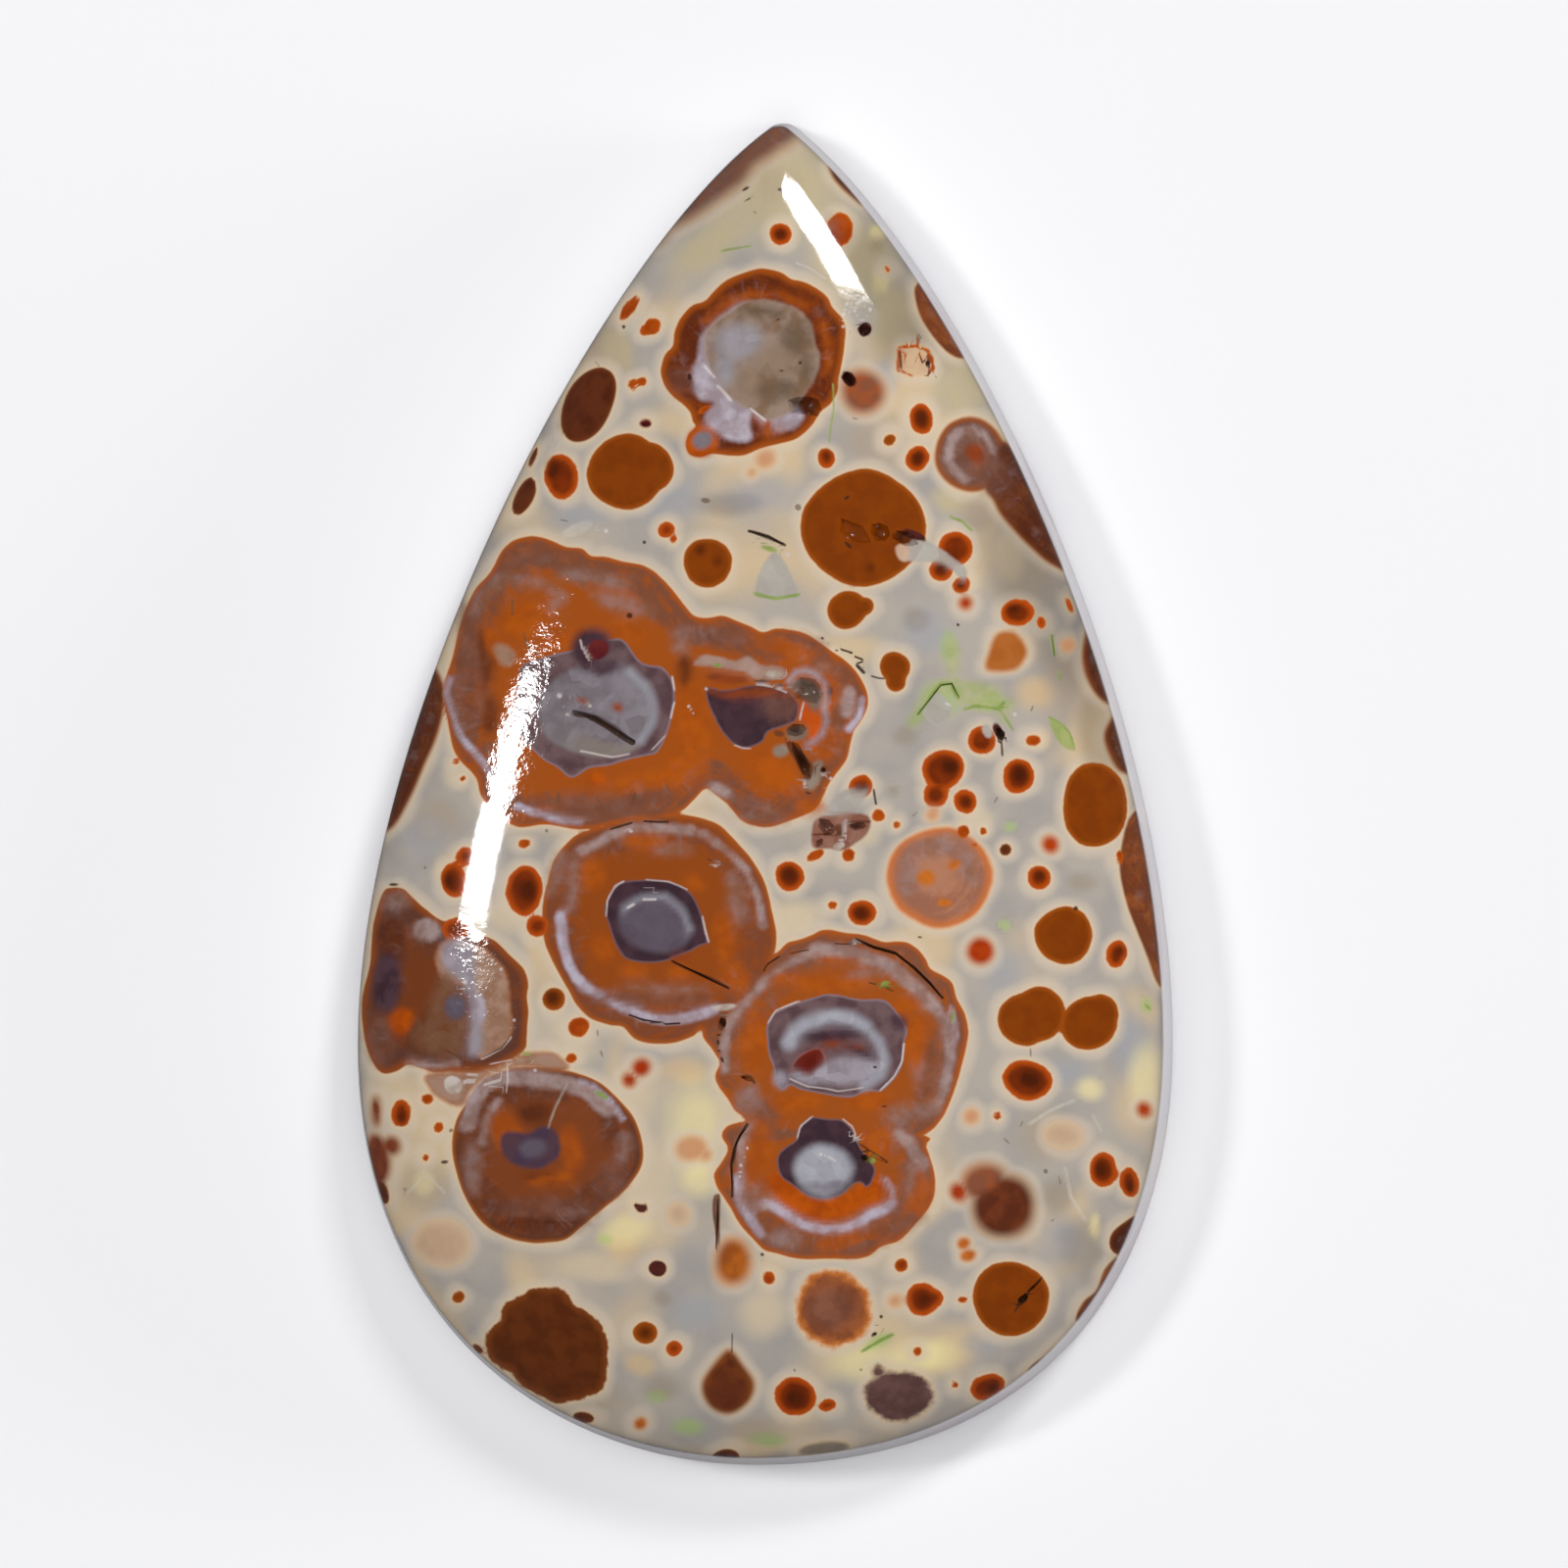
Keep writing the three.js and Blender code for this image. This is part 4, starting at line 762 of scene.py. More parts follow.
# what shows inside cores and spots
hearts = {
    "crystalBlue": [(-0.85, 14.5, 0.8, 0.65), (-1.2, 13.6, 0.4, 0.6)],
    "crystalTan": [(-0.6, 13.2, 0.5, 0.6), (0.2, 13.9, 0.7, 0.5)],
    "crystalDark": [
        (0.95, 14.6, 0.5, 0.6, -30), (0, 15.45, 0.7, 0.2, -10), (0.35, 13, 0.7, 0.4, 10),
        (1.3, 13.7, 0.25, 0.5)],
    "greyGlass": [(-5.35, 2.7, 1.95, 1.5), (-2, 11.35, 0.3)],
    "blueGlass": [(-3.55, -4.15, 1.2, 0.95, -15), (-7.5, -11.35, 0.45, 0.3)],
    "brownGlass": [
        patch(-11.3,-7.6, -10.6,-6.2, -10.3,-5.6, -9.75,-6.3, -9.65,-7.2, -9.7,-8.3, -10.6,-8.4, -11.2,-8.2)],
    # painted highlight on the glassy cores: their lit side and the glass ball's bright upper part
    "paleGlassHighlight": [
        line(0.22, -4.4,3.85, -3.9,3.45, -3.68,2.9, -3.72,2.3, -4.1,1.75),
        line(0.24, 0.8,-8, 0.95,-7.65, 1.25,-7.4, 1.75,-7.2, 2.2,-7.15, 2.8,-7.28, 3.25,-7.55),
        line(0.18, 3.3,-7.6, 3.65,-7.95, 3.8,-8.5, 3.65,-9, 3.2,-9.3), (1.9, -12.1, 0.93, 0.83),
        line(0.15, -4.5,-3.65, -3.9,-3.33, -3.2,-3.37, -2.65,-3.8, -2.45,-4.3)],
    "lavenderGlass": [
        patch(-10.4,-4.9, -9.9,-4.6, -9.4,-4.9, -9.3,-5.8, -9.2,-7, -9.15,-8.2, -9.6,-8.3, -9.55,-7.2,
        -9.7,-6.2, -10.2,-5.6), (2.6, -8.9, 1.1, 0.45, 8), (0.5, -9.15, 0.22, 0.25),
        (1.3, -9.1, 0.5, 0.2, -20)],
    "lavender": [(-9.95, -5.2, 0.42, 0.45), (-9.2, -6.9, 0.2, 0.5)],
    "mauveCloud": [(0.45, 2.75, 0.6, 0.45), (2.1, -16.5, 0.75, 0.6), (2.15, 18.05, 0.24, 0.4)],
    "plum": [
        (-5.6, 4.75, 0.62, 0.6),
        patch(-5.95,4.3, -4.9,4.3, -4.5,3.95, -4.8,3.65, -5.2,3.1, -5.5,3.2, -5.85,3.8),
        # the oval at 1.95, -12.5 is painted shade: the darker lower half of the glass ball
        (-0.8, 2.6, 0.5, 0.35), (2.2, -7.75, 1.1, 0.24), (3, -8.3, 0.5, 0.2, -20), (1.95, -12.5, 0.72, 0.34),
        (4.35, -7.35, 0.2, 0.2)],
    "garnet": [patch(0.9,-8.7, 1.2,-8.32, 1.7,-8.15, 1.95,-8.55, 1.9,-8.85, 1.4,-9.1, 1,-8.9)],
    "rustGlass": [
        patch(-1.9,3.35, -1.3,3.3, -0.3,3.42, 0.7,3.25, 1.05,3, 0.6,2.98, -0.4,3.05, -1.4,3.1),
        (-1.2, 3.72, 0.7, 0.16, -4), (2.75, -8.15, 0.4, 0.12, -6), (2.1, -8.05, 0.3, 0.15),
        (-4.8, 2.87, 0.16, 0.14), (-4.45, 2.55, 0.2, 0.14), (-2.75, -5.25, 0.3, 0.12, 10),
        (6.75, 10.9, 0.32, 0.28)],
    "orangeChip": [
        patch(1.25,3, 1.5,2.75, 1.85,2.4, 1.8,2.1, 1.6,1.75, 1.35,1.75, 1.4,2.1, 1.3,2.25, 1.1,2.4)],
    "amber": [(5.2, -2.75, 0.3, 0.25), (6.1, -2.3, 0.2, 0.14, 30), (5.75, -3.5, 0.25, 0.12)],
    "taupe": [
        patch(0.75,3.4, 1,3.65, 1.35,3.7, 1.7,3.5, 1.85,3.15, 1.8,2.8, 1.6,2.65, 1.3,3, 0.95,3.25),
        (1, 1.95, 0.36, 0.25),
        patch(-6.5,3.05, -5.9,2.85, -5.2,2.45, -4.5,2, -4.1,1.7, -4.4,1.68, -5,1.98, -5.6,2.33, -6.2,2.62)],
    "greyTan": [
        patch(-7,2.7, -6.4,2.75, -5.6,2.35, -4.9,2, -4.15,1.6, -4.5,1.3, -5.3,1.2, -6.1,1.35, -6.75,1.9),
        (1.6, 0.55, 0.2, 0.5, -15), (0.5, 1.4, 0.24, 0.2)],
    "darkHeart": [
        (-6.8, 10.45, 0.25, 0.3), (8.15, 0.62, 0.26, 0.3), (3.1, -3.82, 0.22, 0.2), (3.08, 0.12, 0.22, 0.15),
        (0.8, -2.6, 0.24, 0.22), (8.5, -9.15, 0.38, 0.28, -10), (7.98, 5.9, 0.2, 0.14),
        (4.9, 10.75, 0.14, 0.17), (5.03, 12.05, 0.2, 0.24), (1.97, 10.9, 0.14, 0.12),
        (-6.85, -6.55, 0.2, 0.22), (0.52, 18, 0.15, 0.13), (-2.05, 7.85, 0.13), (-1.5, 7.45, 0.1),
        (7.3, -19.05, 0.2, 0.14), (0.95, -19.35, 0.32, 0.26), (5.1, -16.2, 0.2), (-3.85, -17.3, 0.13),
        (10.8, -12.1, 0.2, 0.26), (8.78, -2.62, 0.17), (11.4, -5.1, 0.14), (-11.65, -10.4, 0.14, 0.2),
        (-10.15, -2.8, 0.2, 0.25), (-7.65, -3.1, 0.26, 0.34), (5.95, 0.85, 0.25, 0.3, 40),
        (4.35, -15.15, 0.08), (6.3, 6.65, 0.1), (5.65, 7.25, 0.16), (6.5, -0.35, 0.14),
        (11.7, -12.6, 0.12, 0.18), (3.4, 7.25, 0.1)],
    "deepBrown": [(-6.1, 12.2, 0.7, 0.4, 60)],
    "blurBrown": [(-1.25, -19.2, 0.62, 0.52)],
    "dimLavender": [
        line(0.14, 6.4,11.62, 6,11.35, 5.85,10.85, 6,10.35, 6.4,10.05),
        line(0.1, 6.75,11.7, 7.15,11.45, 7.35,11)],
    "tanGlass": [patch(-8.8,4.8, -8.45,4.9, -8.1,4.65, -8,4.3, -8.35,4.1, -8.65,4.3)],
    "pinkGrey": [
        patch(-2.3,4.15, -2,4.4, -1.5,4.4, -0.9,4.3, -0.5,4.45, -0.1,4.1, 0.6,4, 0.6,3.7, 0,3.62, -0.35,3.68,
        -0.6,3.9, -1.2,4.02, -2.1,4.1)],
    "creamPatch": [patch(4.2,7.9, 4.5,7.95, 4.75,7.65, 4.6,7.4, 4.35,7.45)],
    "greenPod": [patch(9.1,2.45, 9.5,2.2, 9.8,1.85, 9.98,1.35, 9.75,1.35, 9.45,1.6, 9.25,2)],
    "glassRed": [
        patch(1.5,-1.1, 1.75,-0.75, 2.6,-0.62, 3.35,-0.78, 3.35,-1.3, 2.9,-1.65, 2.5,-1.85, 2,-1.75,
        1.5,-1.7)],
    "greyPatch": [
        patch(0.3,7.8, -0.3,6.45, 0.4,6.3, 1.1,6.35),
        patch(4.75,8.15, 5.2,8.05, 5.7,7.8, 6.1,7.5, 6.45,7.15, 6.42,6.75, 6.2,6.95, 5.95,7.2, 5.5,7.4, 5,7.4,
        4.65,7.4, 4.55,7.65), patch(2.1,-0.6, 2.9,-0.55, 3.3,0.1, 2.6,0.15, 2.2,-0.2),
        (7.15, 1.95, 0.16, 0.24, 20), patch(5,2.6, 5.55,3.2, 6,2.7, 5.6,2.1)],
}

# cracks, veins and the smallest marks
threads = {
    "crack": [
        line(0.05, -0.55,8.4, 0.1,8.22, 0.6,8), line(0.04, -3,-5.35, -2.1,-5.8, -1.2,-6.25),
        line(0.02, -1.05,-17.3, -1.1,-17.9), line(0.05, 0.45,19.42, 1,19.4),
        line(0.03, 8.9,-15.5, 8.5,-15.9, 8,-16.6), (8.3, -16.2, 0.2, 0.12, 40),
        line(0.05, 2.9,-4.65, 3.5,-4.95, 4.2,-5.15), line(0.04, 4.2,-5.15, 4.8,-5.6, 5.3,-6.1, 5.7,-6.6),
        line(0.02, 2.2,-4.82, 2.8,-4.8), line(0.035, -0.05,-5.7, 0.1,-5.45, 0.5,-5.2),
        line(0.02, 0.8,-5.15, 1.4,-5.05), line(0.04, -0.55,-10.6, -0.9,-11.2, -1.1,-12, -1.05,-12.9),
        line(0.025, 2.85,-11.1, 3.3,-11.45, 3.9,-11.85),
        line(0.1, -6.15,2.6, -5.5,2.38, -4.9,2.06, -4.3,1.68), line(0.03, -0.3,3.6, 0,3.55, 0.6,3.45),
        line(0.035, 3.46,0.1, 3.5,-0.15, 3.56,-0.4), line(0.035, 7.6,1.7, 7.6,1.2), (7.55, 1.85, 0.15, 0.12),
        (2.3, 4.6, 0.05, 0.03), line(0.035, 2.45,4.62, 2.8,4.48), line(0.035, 2.9,4.35, 3.15,4.25),
        (1.85, 5, 0.05, 0.04), line(0.06, 2.95,4.05, 3.15,3.85), line(0.03, 3.4,3.75, 3.6,3.7, 3.85,3.7),
        line(0.025, -4.4,-7.1, -3.9,-7.25), line(0.03, -3.7,-7.3, -3.35,-7.3),
        line(0.035, -3.25,-7.37, -2.75,-7.37), line(0.03, -5,-1.15, -4.3,-0.95),
        line(0.03, -3.9,-0.88, -3.1,-0.88), (-4.35, 5.7, 0.1, 0.09), (2.1, 3.25, 0.07, 0.16),
        (-0.6, 19.4, 0.12, 0.05, 30), (5.22, 13.76, 0.08, 0.1), (-4.53, 15, 0.06), (2.6, 9.45, 0.1, 0.05, 40),
        (2.7, 7.95, 0.14, 0.06, -40), (6.2, 5.35, 0.05), (-3.9, 8.1, 0.06), (9.95, -3.75, 0.07),
        (-10.3, -11.78, 0.12, 0.06), (3.5, -17.35, 0.08, 0.05, 30), (-0.08, -14.8, 0.06, 0.05),
        (3.5, -8.75, 0.06, 0.04), (3.75, -16.8, 0.06), (3.85, -10.05, 0.08, 0.03), (5, -4.62, 0.06, 0.03),
        (3.2, -11.75, 0.12, 0.14, -30), (-12, -2.85, 0.15, 0.05), (-1.5, -7.95, 0.05, 0.09),
        (-1.4, -8.5, 0.05, 0.1, 20), (1.1, 13.85, 0.05), (0.45, 15.18, 0.06, 0.03, 20),
        (0.5, 13.6, 0.06, 0.03), (-2.43, 13.4, 0.07, 0.1), line(0.02, 5.15,13.38, 5.5,13.36),
        line(0.02, 3.3,-6.1, 4.1,-6.35), (1.42, -0.02, 0.1, 0.03, -10)],
    "maroon": [
        (2.7, 13.3, 0.27, 0.21, -40), (3.2, 14.88, 0.23, 0.21, 70), (7.5, 1.95, 0.15, 0.25, 20),
        (4.75, 8.25, 0.4, 0.14, -22), (-1.35, -7.35, 0.12, 0.18)],
    "redBead": [(-5.4, 4.65, 0.34, 0.33)],
    "rustGlass": [(-4.75, 2.78, 0.14, 0.12), (-5.9, 3, 0.12, 0.06, -20)],
    "orange": [
        line(0.05, 4.4,14.32, 4.9,14.3), line(0.05, 4.95,14.25, 5.2,14.18, 5.35,13.9, 5.4,13.55),
        line(0.03, 4.45,13.5, 4.75,13.35), (4.5, 13.95, 0.04, 0.12)],
    "lavenderGlass": [
        line(0.05, 0.78,3.6, 1,3.88, 1.3,3.96, 1.62,3.84, 1.9,3.55, 2,3.1, 1.93,2.7),
        line(0.05, 1.93,2.7, 2,2.3, 1.85,1.9, 1.6,1.65, 1.3,1.55)],
    "blueGlass": [(-10, -6.85, 0.36, 0.4)],
    "pitBrown": [
        patch(-1.62,-12.9, -1.42,-12.9, -1.42,-13.6, -1.48,-14.4, -1.58,-14.7, -1.6,-14, -1.66,-13.4),
        (1.87, 0.75, 0.11), (-1.35, -7.38, 0.12, 0.2, -15), line(0.05, -0.75,-9.1, -0.5,-9.1, -0.38,-9.3),
        (0.42, 1.95, 0.16, 0.1, -10),
        patch(0.62,1.78, 0.95,1.55, 1.3,1.15, 1.55,0.8, 1.5,0.5, 1.4,0.3, 1.15,0.65, 0.95,1.05, 0.75,1.4),
        line(0.03, -1.85,-2.12, -1.5,-2.15, -1.25,-2.25), line(0.02, -10.3,-8.2, -9.5,-8.6),
        line(0.03, -8.9,-9.6, -8.5,-9.65), line(0.03, 1.5,-1.3, 1.9,-1.28, 2.3,-1.35),
        line(0.03, 2.65,-0.92, 3.4,-0.95), (2.4, -1.15, 0.15, 0.2)],
    "hairline": [
        line(0.03, -7.75,5.2, -7.65,4.8, -7.35,4.45), line(0.02, -6.6,8.85, -6.4,8.8),
        line(0.02, 4.9,14.72, 5,14.55), line(0.02, 2.8,12.08, 2.95,12.03), line(0.02, 8.6,2.8, 8.55,2.65),
        line(0.02, 4.7,-0.72, 4.85,-0.6), line(0.02, 7.4,-0.3, 7.5,-0.1), line(0.02, 5.3,1.23, 5.35,1.1),
        line(0.025, -5.38,-7.6, -5.36,-7.75), line(0.025, -5.25,-8.3, -5.2,-8.45),
        line(0.025, 8.5,-8.2, 8.5,-8.45), line(0.02, -5.47,13.85, -5.35,13.7),
        line(0.02, -0.35,18.67, -0.2,18.62), line(0.02, 7.65,-11.05, 7.8,-11.2),
        line(0.02, 8.2,-10.65, 8.3,-10.5), line(0.02, 9.2,-13.7, 9.35,-13.6),
        line(0.02, 9.4,-12.3, 9.45,-12.5), (8.98, -12.15, 0.07), (-10.93, -2.35, 0.04), (-10.1, -10.75, 0.06),
        (-11.6, -12.65, 0.05), (0.95, -18.5, 0.04), (4.3, -18.6, 0.04), (3.1, -18.5, 0.04),
        (-1.95, 9.4, 0.15, 0.08), (1.1, 9.2, 0.1), line(0.03, -4.15,0, -4.25,-0.3),
        line(0.03, -6.7,0.05, -6.68,-0.3), (-7, -1.2, 0.05), line(0.03, -5.45,-0.05, -5.35,-0.25),
        line(0.03, -8.15,6.25, -8.12,5.8), line(0.02, 4.6,16.9, 4.5,17.05)],
    "green": [
        line(0.05, 4.9,2.5, 5.3,3, 5.65,3.45, 6,3.5, 6.25,3.05),
        line(0.05, 6.45,2.7, 6.8,2.8, 7.5,2.65, 7.7,2.85), line(0.03, 7.6,2.6, 8,2),
        line(0.025, 9.1,2.45, 9.5,2.2, 9.8,1.85, 9.98,1.35), line(0.05, 9.2,5, 9.35,4.45),
        line(0.03, 9.45,3.9, 9.5,3.6), line(0.04, 6,8.85, 6.35,8.75, 6.65,8.45),
        line(0.06, -0.3,6.42, 0.4,6.28, 1.1,6.35), (3.8, -6.15, 0.18, 0.07, 20), (6, -7.2, 0.05, 0.18),
        (3.42, -11.8, 0.09), line(0.05, 3.1,-17.9, 3.6,-17.6, 4.1,-17.35), (-5.3, -9.65, 0.22, 0.08, -25),
        (12.3, -6.85, 0.12, 0.05, -45), line(0.03, -1.4,17.4, -0.5,17.6),
        line(0.025, 2.15,13.1, 2.2,12.3, 2.1,11.3), (-1.5, 4.12, 0.12, 0.06), (0.1, 7.85, 0.25, 0.08, -10),
        (-7.7, -8.35, 0.14, 0.05)],
    "whiteVein": [
        line(0.05, 8.5,-10.6, 9.2,-10.2, 9.9,-9.9), line(0.04, 10.5,-10.3, 10.8,-10.8),
        line(0.05, 9.6,-12, 9.8,-12.9, 10.3,-13.7), line(0.025, -6.4,-9.3, -6.7,-10, -6.95,-10.7),
        line(0.03, -11.05,-12.05, -10.7,-12.4, -10.35,-12.8), line(0.03, -11,-12.15, -11.5,-12.75),
        (-6.1, 8.5, 0.5, 0.2, 20)],
    "glint": [
        line(0.04, -1.9,13.75, -1.6,13.4), line(0.05, -1.5,13.1, -1.1,12.6), line(0.04, -0.45,12.35, 0,12.02),
        (0.95, 19.55, 0.16, 0.05, 15), (2.45, 16.1, 0.06), (2.75, 15.95, 0.1, 0.04, -20),
        (2.95, 15.7, 0.08, 0.05), (2.6, 15.7, 0.05), (2.85, 15.45, 0.05), (2.5, 15.35, 0.06),
        (3.1, 15.15, 0.08, 0.04), (2.52, 14.95, 0.05), (3.35, 15.5, 0.06),
        line(0.02, 0.98,17, 1.4,16.85, 1.95,16.55), (-5.15, 8.43, 0.07), (0.7, 7.7, 0.07),
        line(0.03, -3.02,3.75, -2.93,3.3), line(0.03, -2.9,2.9, -3,2.4), line(0.02, -3.2,1.85, -3.7,1.35),
        line(0.03, -4.4,1.3, -4.9,1.22, -5.9,1.35), line(0.035, -5.95,4.98, -5.88,4.72),
        line(0.03, -5.8,4.6, -5.7,4.4), (-6.66, 3.2, 0.08), (-6.4, 2.57, 0.05), (-5.78, 2.43, 0.04),
        (-5.66, 2.8, 0.05), line(0.02, -0.95,1.52, -0.7,1.42, -0.45,1.42), (-1.93, 3.36, 0.05),
        line(0.03, -0.25,3.48, 0.3,3.38, 0.7,3.25), line(0.025, 0.08,-7.4, 0.3,-7, 0.6,-6.88, 1.1,-6.68),
        line(0.03, 4.5,-8, 4.4,-8.6, 4.1,-9.1, 3.7,-9.5), line(0.02, 0.8,-9.1, 1.4,-9.4, 2.4,-9.58, 3.2,-9.4),
        line(0.025, 1.03,-11.1, 1.1,-10.7, 1.5,-10.38), line(0.025, 2.5,-10.42, 2.8,-10.65, 2.92,-11),
        line(0.04, 2.05,-11.62, 2.25,-11.75), (1.8, -11.57, 0.05), (2.88, -11.03, 0.08, 0.1),
        line(0.03, -1.98,-3.9, -1.88,-4.4, -1.8,-4.75),
        line(0.025, -5.15,-3.9, -5.1,-3.4, -4.8,-2.95, -4.5,-2.78),
        line(0.02, -3.8,-2.72, -3.1,-2.84, -2.5,-3.1), line(0.04, -4.45,-3.62, -4.2,-3.5),
        line(0.04, -3.9,-3.37, -3.5,-3.4), line(0.03, 1.12,2.4, 1.28,2.95),
        line(0.03, -8.2,-7.8, -8.5,-8.15, -9.1,-8.45), line(0.05, -9.9,-4.75, -9.5,-4.95),
        (-9.63, -6.05, 0.07), (-8.8, -5.35, 0.05), (-8.5, -5.6, 0.05), (-8.07, -7.25, 0.05),
        line(0.04, -9.55,-8.95, -9.25,-8.97), line(0.05, -9,-9.32, -8.5,-9.2),
        line(0.04, -9.58,-9.2, -9.35,-9.2), line(0.02, -8.3,-8.75, -8.25,-9.2, -8.3,-9.6),
        line(0.02, -8.85,-8.65, -8.15,-8.55), (-7.42, -8.85, 0.05), (2.9, -4.75, 0.07),
        line(0.04, 2.62,-0.85, 2.6,-1.25), (2.1, 0.48, 0.05), (1.31, 0.27, 0.06), (1.86, 0.57, 0.06, 0.03),
        (8.05, 2.5, 0.06), (5.9, 2.85, 0.1, 0.04, -20), (-2.45, 2.78, 0.05), (-2.3, 2.58, 0.03),
        (-1.57, -2.28, 0.08, 0.04, 30), (-0.55, -11.35, 0.04), (-0.8, -11.9, 0.05), (-0.85, -12.25, 0.04),
        (-4.35, -1.22, 0.06, 0.04)],
    "chip": [
        (0.3, 3.8, 0.28, 0.12, -5), (2.35, -1.7, 0.2, 0.12, 20), (-10.05, -9.3, 0.3, 0.28),
        (-1.3, -6.85, 0.35, 0.1, 10)],
}

# soft tints of the matrix: colour, cover and ovals
veils = {
    "yellow": {"colour": (230, 213, 158), "cover": 0.7, "ovals": [
        (-2.2, -10.6, 1.1, 1.6), (-2.1, -12.3, 0.7, 0.8), (12.2, -9.2, 0.6, 1.3), (10.4, -9.5, 0.5, 0.4),
        (5.6, -18, 0.8, 0.6), (10.6, -13.9, 0.2, 0.45), (3.6, 18, 0.3, 0.3), (3.75, 16.4, 0.3, 0.4),
        (-11, -12.4, 0.4, 0.5), (3.2, -18.3, 1.2, 0.7), (4.8, -18, 0.9, 0.6), (-4.5, -14, 0.9, 0.6, 20)]},
    "olive": {"colour": (186, 171, 136), "cover": 0.85, "ovals": [
        (0.6, 19.4, 2.6, 1.9), (2.9, 17, 1.6, 1.6), (-1.9, 17.5, 1.5, 0.8, 40), (6.4, 13.1, 1.1, 1.3),
        (4.2, 15.2, 0.9, 1.2), (8.1, 11.4, 0.6, 1.2, 25), (6, 9.4, 0.7, 0.5), (-4.8, 14.2, 0.6, 0.9)]},
    "green": {"colour": (160, 180, 112), "cover": 0.75, "ovals": [
        (5.7, 3, 0.8, 0.6), (7.2, 2.9, 0.6, 0.35), (5.85, 4.7, 0.3, 0.6), (7.9, -1.1, 0.25, 0.2),
        (7.7, -4.25, 0.25, 0.2), (12.25, -6.8, 0.25, 0.3), (-3.5, -19.3, 0.4, 0.25), (-2.5, -20.3, 0.6, 0.3),
        (0.1, -20.7, 0.7, 0.25), (3.6, -17.6, 0.6, 0.25, 25), (-5.1, -14.3, 0.3, 0.2)]},
    "peach": {"colour": (206, 176, 134), "cover": 0.7, "ovals": [
        (8.6, 3.2, 0.7, 0.6), (8.9, 1.7, 0.4, 0.4), (-10.4, -14.3, 0.9, 0.8), (-4, -18.3, 0.6, 0.4),
        (-4.5, -14.6, 0.6, 0.5), (-2.6, -8.9, 1, 0.5), (8, 4.6, 0.9, 0.7)]},
    "cream": {"colour": (204, 186, 158), "cover": 0.85, "ovals": [
        (-8.3, -3.9, 0.9, 0.7), (-6.4, -7.9, 1.2, 1.2), (-4.4, -9.8, 1.4, 1.1), (-3.5, -12.4, 0.9, 1.8),
        (0.8, -4.2, 0.7, 0.5), (-9.9, 0.6, 0.5, 0.5), (6.8, -0.9, 0.7, 0.5), (-9.9, -9.4, 0.9, 0.3),
        (-5.5, -15.2, 1.6, 0.5), (0, -16.6, 0.9, 0.9), (7.8, 7.6, 0.6, 0.9), (1, -3.9, 1.2, 0.6),
        (3.2, -1.3, 0.6, 0.5)]},
    "taupe": {"colour": (146, 132, 116), "cover": 0.6, "ovals": [
        (4.85, 5.6, 0.5, 0.45), (4.5, 1.8, 0.45, 0.4), (4.1, 0.05, 0.25, 0.2), (10.2, -2.9, 0.6, 0.4),
        (-3.3, -16.2, 0.35, 0.3), (3.6, 17.6, 0.3, 0.3), (-1.2, 9.3, 1.2, 0.45), (10.2, -14.6, 0.9, 1.1),
        (9.4, -12.9, 0.6, 0.7), (-3.3, -19, 0.8, 0.5)]},
    "warmGrey": {"colour": (166, 150, 132), "cover": 0.75, "ovals": [
        (8.6, 7.2, 1.3, 1.6), (9.7, 3.4, 1.1, 1.8), (6.8, 8.9, 0.8, 0.6), (9, -11, 1.1, 1),
        (-11, -12.5, 0.9, 1), (0.5, 19.5, 0.8, 0.7), (-5.2, 14, 1, 1.4), (3.6, 11.3, 1.2, 1),
        (-0.3, -20.4, 1.2, 0.5), (-10.6, -0.8, 0.9, 0.9), (5.2, 15, 1.3, 1.6), (-5.8, -19.4, 1.4, 0.8)]},
    "greyBlue": {"colour": (156, 156, 160), "cover": 0.7, "ovals": [
        (-10.9, -1.3, 0.8, 0.8), (-3, 9.4, 1.4, 0.9), (0, 9.6, 1.6, 0.8), (-6, 8.9, 1.1, 0.5),
        (7.6, -5.8, 0.8, 0.9), (11.7, -8, 0.6, 1.2), (9.4, -14.3, 0.9, 0.9), (5.2, 5.2, 0.9, 0.9),
        (-2.2, -16.6, 0.9, 0.7), (6.9, -17.6, 0.6, 0.4), (3.9, 13.4, 0.5, 0.7), (-4.8, 13.2, 0.5, 0.6),
        (9.7, -9, 0.8, 0.5), (-11.7, -14.6, 0.4, 0.9, -30)]},
}

# painted shade: where the ground is painted darker, haloes included, for the light falling off on the upper
# right flank and towards the tip
paintedShade = {"share": 0.34, "ovals": [
    (8.3, 7, 1.1, 2.4, 28), (9.6, 5.2, 1.1, 2.2, 22), (10.7, 1.7, 0.6, 1.6, 10), (3.6, 16.6, 1, 1.9, 32),
    (4.3, 14.8, 0.9, 1.2, 20)]}


# How the marks spread over the mesh, in mm.
spreading = {
    "reach": 1.6,              # how far round a mark its distance is worked out
    "far": 99.0,               # more than any distance
    "clear": 9.0,              # the distance where no mark is near
    "patchHalf": 0.1,          # a patch has no half width of its own
    "threadReach": 0.3,        # how far round a thread the place within it is kept
    "offThread": 30.0,
    "join": 0.03,              # over this width two finishes melt into each other
    "softJoin": 0.35,          # and this much more for each mm of softness
    "frontFade": 0.8,          # how fast the face's marks end below the wall's top
    "backFade": 1.2,           # and those of the back above it
    "waver": 0.035,            # since no spot in the stone is a true oval
    "veilReach": 1.3,          # in half sizes of an oval
    "paintedShadeReach": 1.5,
    "tintFade": 0.3,           # how fast veils and the painted shade end below the wall's top
    "wallTop": (0.02, 0.12),   # how far above its top the wall's painted pale reflection and dull roughness end, and its fade
    "wallFoot": (0.04, 0.08),  # how far up it starts, and its fade
}


